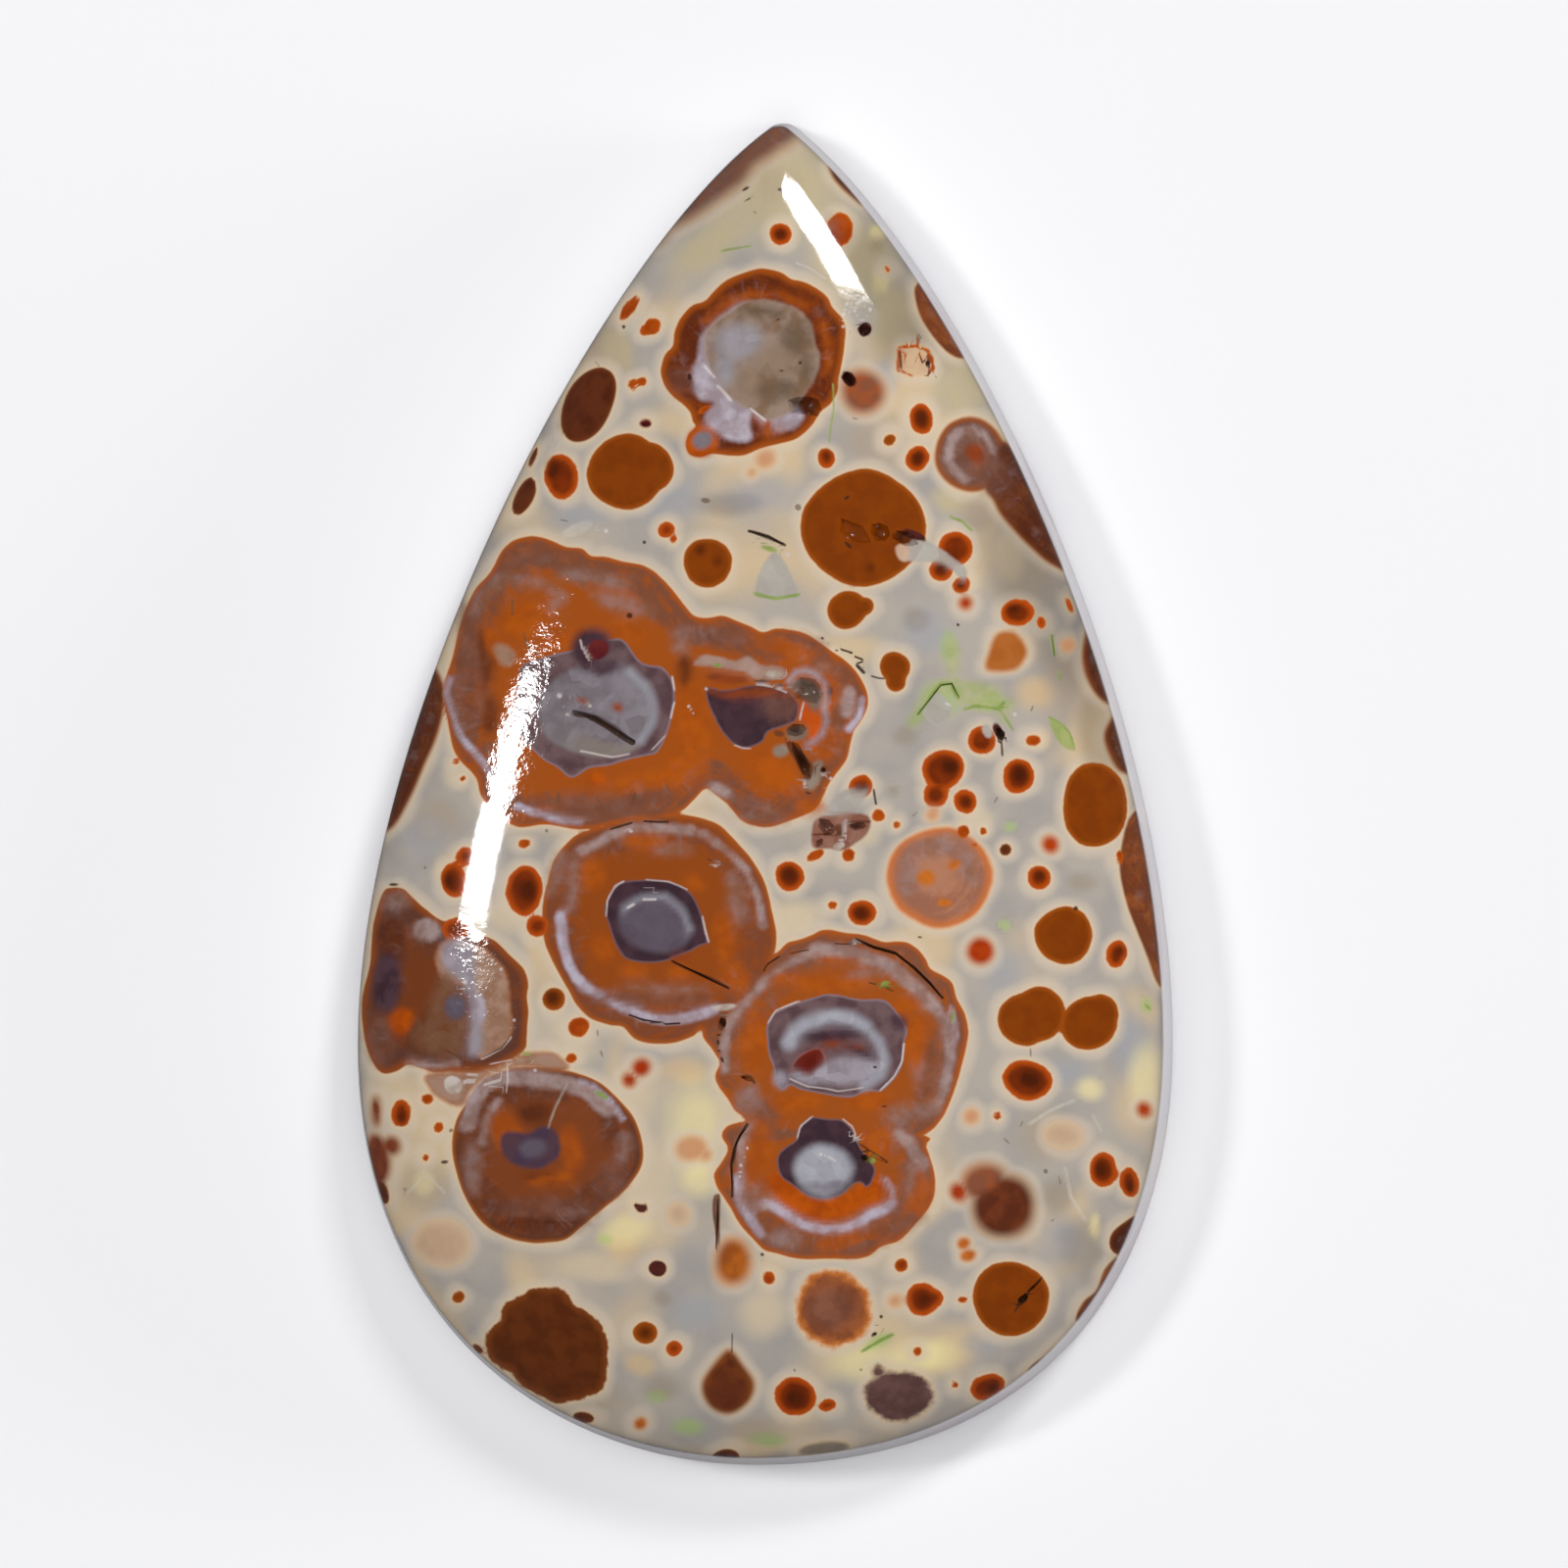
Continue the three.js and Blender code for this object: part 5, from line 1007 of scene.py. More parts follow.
# The colour of a place comes from its distance to the marks of each layer.
def smoothRoute(route, steps=5):
    before, after, beyond = np.roll(route, 1, 0), np.roll(route, -1, 0), np.roll(route, -2, 0)
    share = (np.arange(steps) / steps)[None, :, None]
    a, b, c, d = (points[:, None, :] for points in (before, route, after, beyond))
    bend = (2 * a - 5 * b + 4 * c - d) * share ** 2 + (3 * b - a - 3 * c + d) * share ** 3
    return (b + 0.5 * ((c - a) * share + bend)).reshape(-1, 2)


# Each of these gives the distance to the shape's edge, a place within the shape in shares of its
# half sizes, the half size and the way along it.
def ovalReachOf(shape, x, y):
    long, short = shape[2], shape[3] if len(shape) > 3 else shape[2]
    turn = math.radians(shape[4]) if len(shape) > 4 else 0.0
    dx, dy = x - shape[0], y - shape[1]
    p = (dx * math.cos(turn) + dy * math.sin(turn)) / long
    q = (dy * math.cos(turn) - dx * math.sin(turn)) / short
    k = np.hypot(p, q)
    outwards = k * (k - 1) / np.maximum(np.hypot(p / long, q / short), 1e-6)
    half = min(long, short)
    return np.where(k > 0.05, outwards, -half), p, q, half, np.arctan2(q, p) * half


def lineReachOf(shape, x, y):
    route, half = shape["route"], shape["halfWidth"]
    distance = np.full(x.shape, spreading["far"])
    side, past = np.zeros(x.shape), np.zeros(x.shape)
    for start, end in zip(route[:-1], route[1:]):
        step = end - start
        length = math.hypot(step[0], step[1])
        dx, dy = x - start[0], y - start[1]
        along = (dx * step[0] + dy * step[1]) / length
        across = (dx * step[1] - dy * step[0]) / length
        over = np.maximum(np.maximum(-along, along - length), 0.0)
        here = np.hypot(across, over)
        closer = here < distance
        distance = np.where(closer, here, distance)
        side = np.where(closer, across, side)
        past = np.where(closer, over, past)
    return distance - half, side / half, past / half, half, past


def patchReachOf(shape, x, y):
    route = smoothRoute(shape["route"])
    distance = np.full(x.shape, spreading["far"])
    inside = np.zeros(x.shape, bool)
    along = np.zeros(x.shape)
    travelled = 0.0
    for start, end in zip(route, np.roll(route, -1, 0)):
        step = end - start
        length = math.hypot(step[0], step[1])
        dx, dy = x - start[0], y - start[1]
        share = np.clip((dx * step[0] + dy * step[1]) / max(length * length, 1e-9), 0, 1)
        here = np.hypot(dx - share * step[0], dy - share * step[1])
        along = np.where(here < distance, travelled + share * length, along)
        distance = np.minimum(distance, here)
        travelled += length
        crosses = (start[1] > y) != (end[1] > y)
        rise = step[1] if abs(step[1]) > 1e-9 else 1e-9
        inside ^= crosses & (dx < step[0] * dy / rise)
    edge = np.where(inside, -distance, distance)
    half = spreading["patchHalf"]
    return edge, 1 + edge / half, np.zeros(x.shape), half, along


def reachOf(shape, x, y):
    if isinstance(shape, tuple):
        return ovalReachOf(shape, x, y)
    if shape["form"] == "line":
        return lineReachOf(shape, x, y)
    return patchReachOf(shape, x, y)


def boxOf(shape):
    if isinstance(shape, tuple):
        reach = max(shape[2:4])
        return shape[0] - reach, shape[0] + reach, shape[1] - reach, shape[1] + reach
    low, high = shape["route"].min(0), shape["route"].max(0)
    half = shape["halfWidth"]
    return low[0] - half, high[0] + half, low[1] - half, high[1] + half


def pointsNear(shape, x, y):
    reach = spreading["reach"]
    left, right, low, high = boxOf(shape)
    across = (x > left - reach) & (x < right + reach)
    return np.nonzero(across & (y > low - reach) & (y < high + reach))[0]


# One layer on the mesh: the distance to the nearest mark's edge, and the distance by finish.
def spreadLayer(sides, count):
    names = list(finishes)
    edge = np.full(count, spreading["clear"])
    byFinish = np.full((len(names), count), spreading["clear"])
    guide = np.tile((0.0, 0.0, spreading["offThread"]), (count, 1))
    size = np.full(count, spreading["patchHalf"])
    along = np.zeros(count)
    for table, x, y, penalty in sides:
        for name, shape in ((name, shape) for name, shapes in table.items() for shape in shapes):
            near = pointsNear(shape, x, y)
            if not len(near):
                continue
            here, p, q, half, travelled = reachOf(shape, x[near], y[near])
            here = here + penalty[near]
            row = byFinish[names.index(name)]
            row[near] = np.minimum(row[near], here)
            wins = here < edge[near]
            won = near[wins]
            edge[won] = here[wins]
            size[won] = half
            along[won] = travelled[wins]
            off = here[wins] > spreading["threadReach"]
            away = np.where(off, spreading["offThread"], penalty[won] / half)
            guide[won] = np.stack((p[wins], q[wins], away), 1)
    return edge, byFinish, guide, size, along


def linear(colour):
    values = np.array(colour, float) / 255
    return np.where(values <= 0.04045, values / 12.92, ((values + 0.055) / 1.055) ** 2.4)


def writeAttribute(mesh, name, kind, values):
    attribute = mesh.attributes.new(name, kind, "POINT")
    field = {"FLOAT": "value", "FLOAT_VECTOR": "vector", "FLOAT_COLOR": "color"}[kind]
    attribute.data.foreach_set(field, np.asarray(values, np.float32).ravel())


# How much of each finish a point has: marks of two finishes melt into each other where they meet.
def finishShares(byFinish, kinds):
    join = np.array([spreading["join"] + spreading["softJoin"] * kind["soft"] for kind in kinds])
    weakest = 30.0               # a share of e ^ -30 is as good as none
    share = np.exp(-np.minimum((byFinish - byFinish.min(0)) / join[:, None], weakest))
    return (share / share.sum(0)).T


def writeLayer(mesh, name, sides):
    edge, byFinish, guide, size, along = spreadLayer(sides, len(mesh.vertices))
    kinds = list(finishes.values())
    share = finishShares(byFinish, kinds)
    for part, colour, alpha in (("Main", "main", "cover"), ("Cloud", "cloud", "rimWidth"),
                                ("Rim", "rim", "rimShare")):
        values = np.array([(*linear(kind[colour]), kind[alpha]) for kind in kinds])
        writeAttribute(mesh, name + part, "FLOAT_COLOR", share @ values)
    trim = np.array([(kind["soft"], kind["ragged"], kind["rough"]) for kind in kinds])
    writeAttribute(mesh, name + "Trim", "FLOAT_VECTOR", share @ trim)
    if name == "bodies":
        writeAttribute(mesh, "bodiesAlong", "FLOAT", along)
    if name == "threads":
        writeAttribute(mesh, "threadsGuide", "FLOAT_VECTOR", guide)
        writeAttribute(mesh, "threadsSize", "FLOAT", size)
    else:
        writeAttribute(mesh, name + "Edge", "FLOAT", edge)


def writeVeils(mesh, x, y, penalty):
    total = np.zeros((len(x), 3))
    weight = np.zeros(len(x))
    for veil in veils.values():
        for oval in veil["ovals"]:
            p, q = ovalReachOf(oval, x, y)[1:3]
            share = np.clip(spreading["veilReach"] - np.hypot(p, q) - penalty * spreading["tintFade"], 0, 1)
            share = veil["cover"] * share * share * (3 - 2 * share)
            total += share[:, None] * linear(veil["colour"])
            weight += share
    colour = total / np.maximum(weight, 1e-6)[:, None]
    writeAttribute(mesh, "veil", "FLOAT_COLOR", np.column_stack((colour, np.minimum(weight, 1.0))))


# painted shade: how much darker the ground is painted, oval by oval
def writePaintedShade(mesh, x, y, penalty):
    dark = np.zeros(len(x))
    for oval in paintedShade["ovals"]:
        p, q = ovalReachOf(oval, x, y)[1:3]
        here = spreading["paintedShadeReach"] - np.hypot(p, q) - penalty * spreading["tintFade"]
        dark = np.maximum(dark, np.clip(here, 0, 1))
    writeAttribute(mesh, "paintedShade", "FLOAT", dark * dark * (3 - 2 * dark))


# The back was never seen, so it gets marks of the same kinds at places drawn by lot. Sizes in mm.
backPlan = {
    "seed": 11,
    "halfField": (13, 21.5),
    "orbs": 7,
    "orbRadius": (2.0, 3.6),
    "spots": 90,
    "spotRadius": (0.15, 1.1),
    "spotPower": 1.3,          # above 1 there are more small spots
    "tries": 60,               # before a spot is given up for want of room
    "gap": 0.35,
    "shortSide": (0.85, 1.0),  # an oval's short side, as a share of the long one
    "ringShare": 0.86,         # of the orb's radius
    "ringWidth": 0.14,
    "core": (0.42, 0.35),
    "glass": (0.27, 0.2),
}


def freePlace(lot, radius, taken):
    field = np.array(backPlan["halfField"], float)
    for _ in range(backPlan["tries"]):
        place = lot.uniform(-field, field)
        if all(math.hypot(place[0] - x, place[1] - y) > radius + r + backPlan["gap"] for x, y, r in taken):
            return place
    return None


def turnedOval(lot, place, long, short):
    return (place[0], place[1], long, short, lot.uniform(0, 180))


def openRing(lot, place, radius):
    turns = np.radians(np.arange(0, 300, 20) + lot.uniform(0, 360))
    x = place[0] + radius * np.cos(turns)
    y = place[1] + radius * np.sin(turns)
    return line(backPlan["ringWidth"], *np.stack((x, y), 1).ravel())


def backPattern():
    lot = np.random.default_rng(backPlan["seed"])
    orbs, rings, cores, glass, taken = [], [], [], [], []
    spots = {"ochre": [], "rust": [], "chestnut": [], "orange": []}
    orbRadii = [lot.uniform(*backPlan["orbRadius"]) for _ in range(backPlan["orbs"])]
    spotRadii = [lot.uniform(*backPlan["spotRadius"]) for _ in range(backPlan["spots"])]
    spotRadii = [radius ** backPlan["spotPower"] for radius in spotRadii]
    for radius in orbRadii + sorted(spotRadii, reverse=True):
        place = freePlace(lot, radius, taken)
        if place is None:
            continue
        taken.append((place[0], place[1], radius))
        oval = turnedOval(lot, place, radius, radius * lot.uniform(*backPlan["shortSide"]))
        if radius in orbRadii:
            orbs.append(oval)
            rings.append(openRing(lot, place, radius * backPlan["ringShare"]))
            cores.append(turnedOval(lot, place, *(radius * share for share in backPlan["core"])))
            glass.append(turnedOval(lot, place, *(radius * share for share in backPlan["glass"])))
        else:
            spots[lot.choice(list(spots))].append(oval)
    half = len(orbs) // 2
    return {
        "bodies": {"mottledOrb": orbs[:half], "brownOrb": orbs[half:]},
        "bands": {"lavender": rings},
        "marks": {"purple": cores, **spots},
        "hearts": {"blueGlass": glass},
        "threads": {},
    }


# Where each point of the mesh appears on the plane of the back, seen from the camera.
def seenPlaces(points, eye):
    share = eye.z / (eye.z - points[:, 2])
    x = eye.x + (points[:, 0] - eye.x) * share
    y = eye.y + (points[:, 1] - eye.y) * share
    waverX = spreading["waver"] * np.sin(2.1 * y + 1.2 * x)
    waverY = spreading["waver"] * np.sin(2.4 * x - 1.1 * y + 2)
    return x + waverX, y + waverY


# 1 on the cut wall, with a short fade at its top and at its foot
def wallShare(level):
    above, topFade = spreading["wallTop"]
    start, footFade = spreading["wallFoot"]
    fromTop = (stone["wallHeight"] + above - level) / topFade
    fromFoot = (level - start) / footFade
    return np.clip(fromTop, 0, 1) * np.clip(fromFoot, 0, 1)


# how far each point lies below the face as it was before the pits were cut
def depthBelow(points, uncut):
    sunk = np.zeros(len(points))
    for index in np.nonzero(points[:, 2] > stone["wallHeight"] + 0.05)[0]:
        x, y, z = points[index]
        hit = uncut.ray_cast(Vector((x, y, 2 * stone["thickness"])), Vector((0, 0, -1)))[0]
        sunk[index] = hit.z - z if hit else 0.0
    return np.maximum(sunk, 0)


def writePattern(mesh, eye, uncut):
    points = np.empty(len(mesh.vertices) * 3, np.float32)
    mesh.vertices.foreach_get("co", points)
    points = points.reshape(-1, 3).astype(float) / mm
    level = points[:, 2]
    x, y = seenPlaces(points, eye)
    below = np.maximum(0, stone["wallHeight"] - level)
    frontPenalty = spreading["frontFade"] * below ** 2
    backPenalty = spreading["backFade"] * np.maximum(0, level) ** 2
    back = backPattern()
    front = {"bodies": bodies, "bands": bands, "marks": marks, "hearts": hearts, "threads": threads}
    for name in front:
        writeLayer(mesh, name, [(front[name], x, y, frontPenalty), (back[name], x, y, backPenalty)])
    writeVeils(mesh, x, y, frontPenalty)
    writePaintedShade(mesh, x, y, frontPenalty)
    writeAttribute(mesh, "wall", "FLOAT", wallShare(level))
    writeAttribute(mesh, "sunk", "FLOAT", depthBelow(points, uncut))


# Open pits and cracks in the polished face, in mm. A pit: place, half sizes, turn and depth.
# A crack: half width, depth and route.
carving = {
    "seed": 4,
    "proud": 0.15,               # how far a cutter stands above the face
    "proudShare": 1.15,          # and how wide it is there, in half sizes of the pit
    "rings": ((0.45, 0.78), (0.85, 0.4)),  # shares of a pit's depth, and its width there
    "sides": (6, 9),             # corners of a pit's outline, the upper number not included
    "turnWander": 0.25,          # of a corner, as a share of a side
    "radius": (0.82, 1.12),
    "ringRadius": (0.88, 1.1),
    "levelWander": 0.03,
    "pointWander": 0.1,          # how far the lowest point lies off the middle
    "crackWidth": (0.85, 1.2),
    "endWidth": 0.3,             # a crack thins out to this share at its ends
    "endDepth": 0.4,
    "clearance": 0.05,           # between cutters of one group
    "sharpAngle": 35,            # degrees
}
pits = [
    (1.3, 12.45, 0.55, 0.34, -15, 0.42), (2.7, 13.3, 0.28, 0.22, -40, 0.35),
    (3.2, 14.88, 0.24, 0.22, 70, 0.3), (1.4, 3.3, 0.5, 0.42, -20, 0.35), (0.98, 2.02, 0.35, 0.2, 10, 0.35),
    (1.15, 1.1, 0.75, 0.2, -62, 0.4), (2.9, 8.38, 0.66, 0.34, -40, 0.18), (3.72, 8.38, 0.34, 0.38, -10, 0.28),
    (4.5, 8.18, 0.5, 0.26, -22, 0.32), (2, -1.05, 0.36, 0.26, -50, 0.3), (2.95, -1.05, 0.34, 0.14, 4, 0.3),
    (1.75, -1.6, 0.2, 0.14, 30, 0.2), (7.55, 1.9, 0.16, 0.28, 20, 0.35), (8.3, -16.2, 0.22, 0.13, 40, 0.25),
    (3.5, -17.35, 0.12, 0.08, 30, 0.15), (-3.82, 11.87, 0.16, 0.1, 0, 0.15),
    (-1.35, -7.35, 0.12, 0.2, 0, 0.25), (3.18, -11.68, 0.14, 0.13, 0, 0.2),
    (5.23, 13.78, 0.09, 0.12, 0, 0.15), (4.35, 13.95, 0.08, 0.4, 5, 0.12), (1.87, 0.75, 0.1, 0.1, 0, 0.2),
    (-0.58, -9.15, 0.22, 0.08, -20, 0.15),
]
cracks = [
    (0.12, 0.2, (-6.2, 2.68), (-5.5, 2.45), (-4.9, 2.12), (-4.2, 1.68)),
    (0.07, 0.2, (-0.55, 8.42), (0.1, 8.22), (0.6, 8.0)),
    (0.045, 0.15, (-3.0, -5.35), (-2.1, -5.8), (-1.2, -6.25)),
    (0.05, 0.15, (-1.52, -13.0), (-1.53, -13.8), (-1.58, -14.6)),
    (0.05, 0.15, (8.85, -15.6), (8.6, -15.85), (8.45, -16.0)),
    (0.05, 0.15, (2.9, -4.65), (3.5, -4.95), (4.2, -5.15), (4.8, -5.6), (5.3, -6.1), (5.7, -6.6)),
    (0.04, 0.12, (-0.5, -10.6), (-0.8, -10.95), (-1.0, -11.4), (-1.1, -11.9), (-1.05, -12.7)),
    (0.035, 0.12, (-4.4, -7.1), (-3.9, -7.25), (-3.35, -7.32)),
    (0.035, 0.12, (-3.25, -7.37), (-2.75, -7.37)),
    (0.035, 0.12, (-5.0, -1.15), (-4.3, -0.95)),
    (0.035, 0.12, (-3.9, -0.88), (-3.1, -0.88)),
    (0.035, 0.12, (4.9, 2.5), (5.3, 3.0), (5.65, 3.45), (6.0, 3.5), (6.25, 3.05)),
    (0.05, 0.15, (9.22, 5.05), (9.3, 4.35)),
    (0.05, 0.12, (2.95, 4.08), (3.15, 3.85)),
    (0.04, 0.1, (2.45, 4.63), (2.8, 4.48)),
    (0.04, 0.1, (2.9, 4.36), (3.15, 4.25)),
    (0.03, 0.1, (2.9, -11.15), (3.02, -11.45)),
    (0.03, 0.1, (3.38, -11.62), (3.9, -11.85)),
    (0.04, 0.12, (-8.2, -7.8), (-8.5, -8.15), (-9.1, -8.45)),
]


def onFace(uncut, eye, x, y):
    return uncut.ray_cast(eye, (Vector((x, y, 0)) - eye).normalized())[0]


# A pit's cutter: three irregular rings that narrow down to a point off the middle.
def pitCutter(shape, lot, uncut, eye):
    x, y, long, short, turn, depth = shape
    face = onFace(uncut, eye, x, y)
    sides = int(lot.integers(*carving["sides"]))
    wander = carving["turnWander"]
    angles = (np.arange(sides) + lot.uniform(-wander, wander, sides)) * math.tau / sides
    radii = lot.uniform(*carving["radius"], sides)
    c, s = math.cos(math.radians(turn)), math.sin(math.radians(turn))
    rings = [(carving["proud"], carving["proudShare"])]
    rings += [(-fall * depth, share) for fall, share in carving["rings"]]
    corners = []
    for height, share in rings:
        for angle, radius in zip(angles, radii):
            reach = radius * share * lot.uniform(*carving["ringRadius"])
            p, q = long * reach * math.cos(angle), short * reach * math.sin(angle)
            level = face.z + height + lot.uniform(-carving["levelWander"], carving["levelWander"])
            corners.append((face.x + p * c - q * s, face.y + p * s + q * c, level))
    aside = lot.uniform(-carving["pointWander"], carving["pointWander"]) * long
    corners.append((face.x + aside, face.y, face.z - depth))
    return corners, pitFaces(sides)


def pitFaces(sides):
    faces = [tuple(range(sides))]
    for low in (0, sides):
        for i in range(sides):
            j = (i + 1) % sides
            faces += [(low + i, low + j, low + sides + j), (low + i, low + sides + j, low + sides + i)]
    return faces + [(2 * sides + i, 2 * sides + (i + 1) % sides, 3 * sides) for i in range(sides)]


# A crack's cutter: a wedge along the route that thins out at both ends.
def crackCutter(shape, lot, uncut, eye):
    half, depth, *route = shape
    route = np.array(route, float)
    count = len(route)
    corners = []
    for i, (x, y) in enumerate(route):
        atEnd = i in (0, count - 1)
        along = route[min(i + 1, count - 1)] - route[max(i - 1, 0)]
        side = np.array((-along[1], along[0])) / np.hypot(*along)
        width = half * (carving["endWidth"] if atEnd else lot.uniform(*carving["crackWidth"]))
        fall = depth * (carving["endDepth"] if atEnd else 1.0)
        face = onFace(uncut, eye, x, y)
        top = face.z + carving["proud"]
        spread = width * (1 + carving["proud"] / fall)
        corners.append((face.x + side[0] * spread, face.y + side[1] * spread, top))
        corners.append((face.x - side[0] * spread, face.y - side[1] * spread, top))
        corners.append((face.x, face.y, face.z - fall))
    faces = [(0, 1, 2), (3 * count - 3, 3 * count - 1, 3 * count - 2)]
    for i in range(0, 3 * count - 3, 3):
        for a, b in ((0, 1), (1, 2), (2, 0)):
            faces += [(i + a, i + 3 + a, i + 3 + b), (i + a, i + 3 + b, i + b)]
    return corners, faces


# Cutters that stay clear of each other share one mesh, so that no mesh crosses itself.
def cutterGroups(cutters):
    groups = []
    for corners, faces in cutters:
        low, high = np.min(corners, 0)[:2], np.max(corners, 0)[:2]
        gap = carving["clearance"]
        for group in groups:
            if all((low > h + gap).any() or (high < l - gap).any() for l, h in group["boxes"]):
                break
        else:
            group = {"boxes": [], "corners": [], "faces": []}
            groups.append(group)
        base = len(group["corners"])
        group["boxes"].append((low, high))
        group["corners"] += corners
        group["faces"] += [tuple(base + i for i in face) for face in faces]
    return groups


def cutFrom(piece, group):
    mesh = bpy.data.meshes.new("cutter")
    mesh.from_pydata([Vector(corner) * mm for corner in group["corners"]], [], group["faces"])
    shape = bmesh.new()
    shape.from_mesh(mesh)
    bmesh.ops.triangulate(shape, faces=shape.faces)
    bmesh.ops.recalc_face_normals(shape, faces=shape.faces)
    shape.to_mesh(mesh)
    shape.free()
    cutter = bpy.data.objects.new("cutter", mesh)
    bpy.context.scene.collection.objects.link(cutter)
    modifier = piece.modifiers.new("carve", "BOOLEAN")
    modifier.operation = "DIFFERENCE"
    modifier.solver = "MANIFOLD"
    modifier.object = cutter
    evaluated = piece.evaluated_get(bpy.context.evaluated_depsgraph_get())
    carved = bpy.data.meshes.new_from_object(evaluated)
    piece.modifiers.remove(modifier)
    piece.data = carved
    bpy.data.objects.remove(cutter)


def carve(piece, uncut, eye):
    material = piece.data.materials[0]
    lot = np.random.default_rng(carving["seed"])
    cutters = [pitCutter(shape, lot, uncut, eye) for shape in pits]
    cutters += [crackCutter(shape, lot, uncut, eye) for shape in cracks]
    groups = cutterGroups(cutters)
    for group in groups:
        cutFrom(piece, group)
    piece.data.name = "stone"
    onlyMaterial(piece.data, material)
    piece.data.shade_smooth()
    piece.data.set_sharp_from_angle(angle=math.radians(carving["sharpAngle"]))
    print("carved:", len(cutters), "cutters in", len(groups), "groups")


# The jasper: grey and cream ground, and over it the painted layers from the lowest up.
ground = {
    "patchSize": 3.2,            # mm, grey and cream patches
    "cloudSize": 1.5,            # mm, the clouds in the grey
    "grey": (172, 163, 153),
    "greyDeep": (158, 152, 147),
    "deepRange": (0.35, 0.75),   # the noise from which and at which a colour shows fully
    "cream": (202, 179, 146),
    "creamRange": (0.46, 0.7),
    "veilRange": (0.0, 0.45),
    "halo": (208, 191, 170),
    "haloRange": (0.46, 0.08),   # mm from an orb's or a spot's edge
    "haloShare": 0.62,
    "haloWander": 0.4,           # mm
    "haloEdge": (228, 192, 142),
    "haloEdgeRange": (0.13, 0.03),
    "haloEdgeShare": 0.4,
}
mottling = {
    "smearSize": 0.9,            # mm
    "smearRange": (0.36, 0.66),
    "streakLength": 1.3,         # mm along an orb's edge
    "streaksAcross": 2.4,        # per mm
    "streakRange": (0.38, 0.62),
    "streakBelt": (-1.3, -0.6),  # mm from the edge
    "outerBelt": (-1.5, -0.6),
    "sumRange": (0.7, 2.3),
    "cloudSize": 0.6,
    "cloudRange": (0.35, 0.65),
    "facetSize": 0.55,
    "facetShare": 0.6,
}
fibrePlan = {
    "across": 2.6,               # strands per mm along the edge
    "inwards": 1.3,
    "inner": (-1.6, -0.7),       # mm from the edge, where they begin
    "outer": (-0.12, -0.35),     # and where they end
    "patchSize": 1.5,            # mm, the patches in which they show
    "patchRange": (0.35, 0.62),
    "pale": (156, 138, 140),
    "paleRange": (0.5, 0.72),
    "warm": (172, 84, 30),
    "warmRange": (0.48, 0.3),
    "share": 0.18,
}
# which mottle clouds a layer's colour, and the size of the waves in its edges, in mm
layerPlan = {"bodies": ("smears", 0.7), "bands": ("clouds", 0.4), "marks": ("clouds", 0.35),
             "hearts": ("facets", 0.3), "threads": ("clouds", 0.2)}
waveHeight = 2.2                 # times the finish's raggedness
surface = {
    "grainSize": 0.12,           # mm
    "grainRange": (0.25, 0.75),
    "grainLight": (0.975, 1.02),
    "pitDark": (40, 22, 12),
    "pitShade": 0.6,
    "pitRange": (0.03, 0.4),     # mm below the face
    "wall": (236, 234, 240),     # painted reflection: the side is painted near-white for the bright surroundings that it reflects, and it gets a dull roughness
    "wallShare": 0.8,
    "roughness": 0.06,
    "dullRoughness": 0.3,        # in the pits and on the wall
    "ior": 1.54,
    "waverSize": 0.45,           # mm
    "waverHeight": 0.014,        # mm
    "groundWaver": 0.15,
    "orbWaver": 0.85,            # added in the orbs, which took the polish less evenly
    "orbRange": (0.1, -0.3),
}


def ramp(value, low, high):
    return addNode(value.id_data, "ShaderNodeMapRange", {"Value": value, 1: low, 2: high},
                   interpolation_type="SMOOTHSTEP").outputs[0]


def paint(colour):
    return (*linear(colour), 1.0)


def scaledNoise(place, scale=1.0, detail=3.0, roughness=0.5, distortion=0.0):
    return addNode(place.id_data, "ShaderNodeTexNoise", {
        "Vector": place, "Scale": scale, "Detail": detail, "Roughness": roughness,
        "Distortion": distortion}).outputs[0]


def noise(place, size, *settings):
    return scaledNoise(place, 1 / (size * mm), *settings)


def readAttribute(tree, name):
    return addNode(tree, "ShaderNodeAttribute", attribute_name=name).outputs


def groundColour(tree, place, halo):
    patches = noise(place, ground["patchSize"], 1, 0.4, 0.3)
    clouds = noise(place, ground["cloudSize"], 2, 0.4)
    grey = blend(ramp(clouds, *ground["deepRange"]), paint(ground["grey"]), paint(ground["greyDeep"]))
    colour = blend(ramp(patches, *ground["creamRange"]), grey, paint(ground["cream"]))
    veil = readAttribute(tree, "veil")
    colour = blend(multiply(veil["Alpha"], ramp(clouds, *ground["veilRange"])), colour, veil["Color"])
    wander = calc("MULTIPLY_ADD", subtract(clouds, 0.5), ground["haloWander"], halo)
    near = multiply(ramp(wander, *ground["haloRange"]), ground["haloShare"])
    colour = blend(near, colour, paint(ground["halo"]))
    thin = multiply(ramp(halo, *ground["haloEdgeRange"]), ground["haloEdgeShare"])
    colour = blend(thin, colour, paint(ground["haloEdge"]))
    # painted shade: the ground, haloes included, is darkened where the flank turns away from the light
    light = calc("MULTIPLY_ADD", readAttribute(tree, "paintedShade")["Fac"], -paintedShade["share"], 1.0)
    return vectorCalc("SCALE", colour, scale=light)


# Streaks that follow an orb's edge: the noise changes fast across the rings and slowly along them.
def ringStreaks(tree, place, edge):
    along = vectorCalc("SCALE", place, scale=1 / (mottling["streakLength"] * mm))
    across = joinVector(tree, x=multiply(edge, mottling["streaksAcross"]))
    streaks = scaledNoise(vectorCalc("ADD", along, across), 1.0, 4.0, 0.6)
    return multiply(ramp(streaks, *mottling["streakRange"]), ramp(edge, *mottling["streakBelt"]))


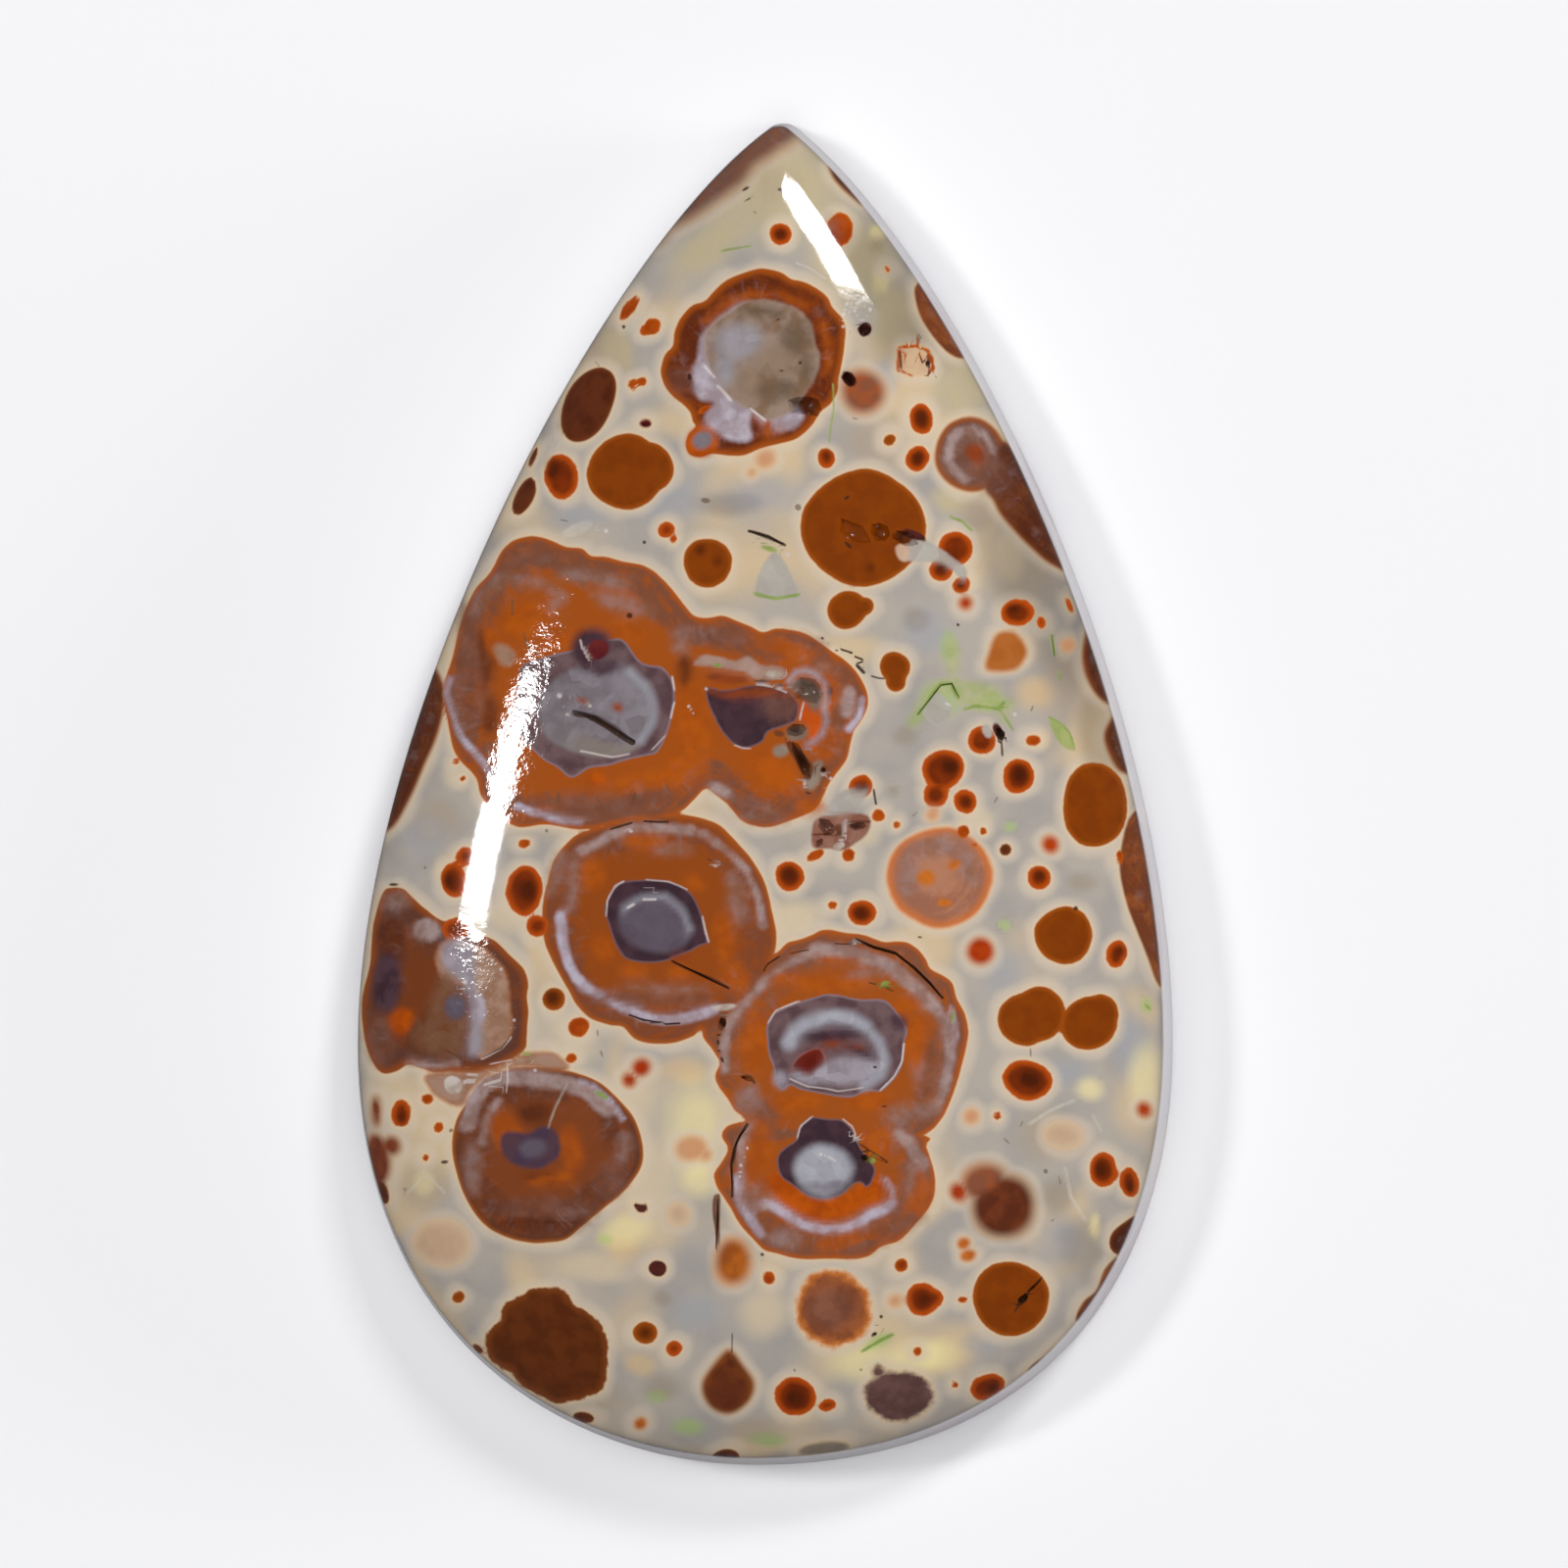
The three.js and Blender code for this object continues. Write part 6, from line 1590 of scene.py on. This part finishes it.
def mottles(tree, place, edge):
    smears = ramp(noise(place, mottling["smearSize"], 6, 0.68, 0.6), *mottling["smearRange"])
    smears = add(add(smears, ringStreaks(tree, place, edge)), ramp(edge, *mottling["outerBelt"]))
    clouds = ramp(noise(place, mottling["cloudSize"], 3, 0.5), *mottling["cloudRange"])
    facetScale = 1 / (mottling["facetSize"] * mm)
    cells = addNode(tree, "ShaderNodeTexVoronoi", {"Vector": place, "Scale": facetScale})
    share = mottling["facetShare"]
    facets = calc("MULTIPLY_ADD", splitVector(cells.outputs["Color"])[0], share, multiply(clouds, 1 - share))
    return {"smears": ramp(smears, *mottling["sumRange"]), "clouds": clouds, "facets": facets}


# Fibres that stand square to an orb's edge, as the crystals grew inwards.
def addFibres(tree, place, edge, colour):
    along = multiply(readAttribute(tree, "bodiesAlong")["Fac"], fibrePlan["across"])
    grid = joinVector(tree, x=along, y=multiply(edge, fibrePlan["inwards"]))
    strands = scaledNoise(grid, 1.0, 3.0, 0.55, 0.7)
    belt = multiply(ramp(edge, *fibrePlan["inner"]), ramp(edge, *fibrePlan["outer"]))
    belt = multiply(belt, ramp(noise(place, fibrePlan["patchSize"], 2), *fibrePlan["patchRange"]))
    for tint in ("pale", "warm"):
        share = multiply(ramp(strands, *fibrePlan[tint + "Range"]), belt)
        colour = blend(multiply(share, fibrePlan["share"]), colour, paint(fibrePlan[tint]))
    return colour


# A thread is finer than the mesh, so its edge comes from the place within it.
def layerEdge(tree, name):
    if name != "threads":
        return readAttribute(tree, name + "Edge")["Fac"]
    away = vectorCalc("LENGTH", readAttribute(tree, "threadsGuide")["Vector"])
    return multiply(subtract(away, 1), readAttribute(tree, "threadsSize")["Fac"])


# One layer over what lies below it: its edge, its mottled colour and its rim.
def layOver(tree, name, under, roughness, place, mottle, waveSize):
    main = readAttribute(tree, name + "Main")
    cloud = readAttribute(tree, name + "Cloud")
    rim = readAttribute(tree, name + "Rim")
    soft, ragged, rough = splitVector(readAttribute(tree, name + "Trim")["Vector"])
    wave = multiply(subtract(noise(place, waveSize, 3, 0.55), 0.5), waveHeight)
    edge = calc("MULTIPLY_ADD", wave, ragged, layerEdge(tree, name))
    mask = multiply(ramp(edge, soft, multiply(soft, -1)), main["Alpha"])
    colour = blend(mottle, main["Color"], cloud["Color"])
    inRim = multiply(ramp(edge, multiply(cloud["Alpha"], -1), -0.01), rim["Alpha"])
    colour = blend(inRim, colour, rim["Color"])
    return blend(mask, under, colour), blend(mask, roughness, rough, "FLOAT")


def unevenPolish(tree, place, edge):
    inOrb = ramp(edge, *surface["orbRange"])
    share = calc("MULTIPLY_ADD", inOrb, surface["orbWaver"], surface["groundWaver"])
    height = multiply(noise(place, surface["waverSize"], 3, 0.55), share)
    return addNode(tree, "ShaderNodeBump", {
        "Height": height, "Distance": surface["waverHeight"] * mm, "Strength": 1.0}).outputs["Normal"]


def finishSurface(tree, shader, place, colour, roughness):
    low, high = surface["grainRange"]
    dark, light = surface["grainLight"]
    grain = noise(place, surface["grainSize"], 3, 0.7)
    shade = addNode(tree, "ShaderNodeMapRange",
                    {"Value": grain, 1: low, 2: high, 3: dark, 4: light}).outputs[0]
    colour = vectorCalc("SCALE", colour, scale=shade)
    depth = ramp(readAttribute(tree, "sunk")["Fac"], *surface["pitRange"])
    colour = blend(multiply(depth, surface["pitShade"]), colour, paint(surface["pitDark"]))
    # painted reflection: the wall is blended towards near-white, and it and the pits get the dull roughness
    wall = readAttribute(tree, "wall")["Fac"]
    colour = blend(multiply(wall, surface["wallShare"]), colour, paint(surface["wall"]))
    dull = calc("MAXIMUM", depth, wall)
    put(tree, shader.inputs["Base Color"], colour)
    put(tree, shader.inputs["Roughness"], blend(dull, roughness, surface["dullRoughness"], "FLOAT"))
    put(tree, shader.inputs["IOR"], surface["ior"])


def jasper():
    material = bpy.data.materials.new("polishedJasper")
    material.use_nodes = True
    tree = material.node_tree
    shader = tree.nodes["Principled BSDF"]
    place = tree.nodes.new("ShaderNodeTexCoord").outputs["Object"]
    edge = readAttribute(tree, "bodiesEdge")["Fac"]
    halo = calc("MINIMUM", edge, readAttribute(tree, "marksEdge")["Fac"])
    mottle = mottles(tree, place, edge)
    colour = groundColour(tree, place, halo)
    roughness = surface["roughness"]
    for name, (kind, waveSize) in layerPlan.items():
        colour, roughness = layOver(tree, name, colour, roughness, place, mottle[kind], waveSize)
        if name == "bands":
            colour = addFibres(tree, place, edge, colour)
    finishSurface(tree, shader, place, colour, roughness)
    put(tree, shader.inputs["Normal"], unevenPolish(tree, place, edge))
    return material


floorPlan = {"reach": 2.0, "colour": (0.86, 0.86, 0.88, 1), "roughness": 0.9}


def makeFloor():
    reach = floorPlan["reach"]
    corners = [(-reach, -reach, 0), (reach, -reach, 0), (reach, reach, 0), (-reach, reach, 0)]
    mesh = bpy.data.meshes.new("floor")
    mesh.from_pydata(corners, [], [(0, 1, 2, 3)])
    floor = bpy.data.objects.new("floor", mesh)
    bpy.context.scene.collection.objects.link(floor)
    material = bpy.data.materials.new("paleFloor")
    material.use_nodes = True
    shader = material.node_tree.nodes["Principled BSDF"]
    shader.inputs["Base Color"].default_value = floorPlan["colour"]
    shader.inputs["Roughness"].default_value = floorPlan["roughness"]
    mesh.materials.append(material)
    floor.visible_glossy = False         # so that no horizon shows in the polish


# The camera looks down on the face, leaning a little to the right and towards the foot.
cameraPlan = {
    "leanRight": 5.0,            # degrees from straight above
    "leanFoot": 2.5,
    "distance": 600.0,           # mm from the middle of the picture
    "frameSize": 50.25,          # mm across the square picture at the stone's back
    "middle": (0.61, 0.30),      # mm, the point of the table in the middle of the picture
    "sensor": 36.0,
}


def makeCamera():
    data = bpy.data.cameras.new("camera")
    camera = bpy.data.objects.new("camera", data)
    bpy.context.scene.collection.objects.link(camera)
    right = math.tan(math.radians(cameraPlan["leanRight"]))
    foot = math.tan(math.radians(cameraPlan["leanFoot"]))
    back = Vector((right, -foot, 1)).normalized()
    target = Vector((cameraPlan["middle"][0], cameraPlan["middle"][1], 0)) * mm
    camera.location = target + back * cameraPlan["distance"] * mm
    # the picture's up direction follows the stone's length
    side = Vector((0, 1, 0)).cross(back).normalized()
    up = back.cross(side)
    camera.matrix_world = Matrix((
        (side.x, up.x, back.x, camera.location.x),
        (side.y, up.y, back.y, camera.location.y),
        (side.z, up.z, back.z, camera.location.z),
        (0, 0, 0, 1)))
    data.sensor_width = cameraPlan["sensor"]
    data.lens = cameraPlan["sensor"] * cameraPlan["distance"] / cameraPlan["frameSize"]
    data.clip_start = 0.01
    bpy.context.scene.camera = camera


# Soft boxes round the stone: their direction in degrees, distance and size in mm, power in W and turn.
lightPlan = {
    "leftBox": {"azimuth": 163, "zenith": 42, "distance": 700, "size": (120, 90), "power": 1.4},
    "rightBox": {"azimuth": 58, "zenith": 47, "distance": 700, "size": (115, 145), "power": 1.5, "turn": -30},
    "wallLight": {"azimuth": 5, "zenith": 79, "distance": 500, "size": (160, 140), "power": 0.85,
                  "inPolish": False},
    "topFill": {"azimuth": 270, "zenith": 6, "distance": 1000, "size": (1200, 1200), "power": 7.5,
                "inPolish": False},
}
worldStrength = 0.07


def softBox(name, azimuth, zenith, distance, size, power, turn=0.0, inPolish=True):
    data = bpy.data.lights.new(name, "AREA")
    data.shape = "RECTANGLE"
    data.size = size[0] * mm
    data.size_y = size[1] * mm
    data.energy = power
    light = bpy.data.objects.new(name, data)
    bpy.context.scene.collection.objects.link(light)
    a, z = math.radians(azimuth), math.radians(zenith)
    direction = Vector((math.cos(a) * math.sin(z), math.sin(a) * math.sin(z), math.cos(z)))
    light.location = direction * distance * mm
    light.rotation_euler = direction.to_track_quat("Z", "Y").to_euler()
    light.rotation_euler.rotate_axis("Z", math.radians(turn))
    light.visible_glossy = inPolish


def makeLights():
    for name, plan in lightPlan.items():
        softBox(name, **plan)
    world = bpy.data.worlds.new("studio")
    world.use_nodes = True
    background = world.node_tree.nodes["Background"]
    background.inputs["Color"].default_value = (1, 1, 1, 1)
    background.inputs["Strength"].default_value = worldStrength
    bpy.context.scene.world = world
    bpy.context.scene.view_settings.view_transform = "Standard"


makeCamera()
makeLights()
makeFloor()
print("studio: camera,", len(lightPlan), "lights and floor")
piece = growStone(jasper())
corners = [vertex.co / mm for vertex in piece.data.vertices]
uncutFace = BVHTree.FromPolygons(corners, [tuple(polygon.vertices) for polygon in piece.data.polygons])
eye = bpy.context.scene.camera.matrix_world.translation / mm
print("stone:", len(corners), "points before the pits are cut")
carve(piece, uncutFace, eye)
triangles = sum(len(polygon.vertices) - 2 for polygon in piece.data.polygons)
print("stone:", len(piece.data.vertices), "points,", triangles, "triangles")
writePattern(piece.data, eye, uncutFace)
print("pattern: written")
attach(piece, "root")
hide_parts("cabochon")
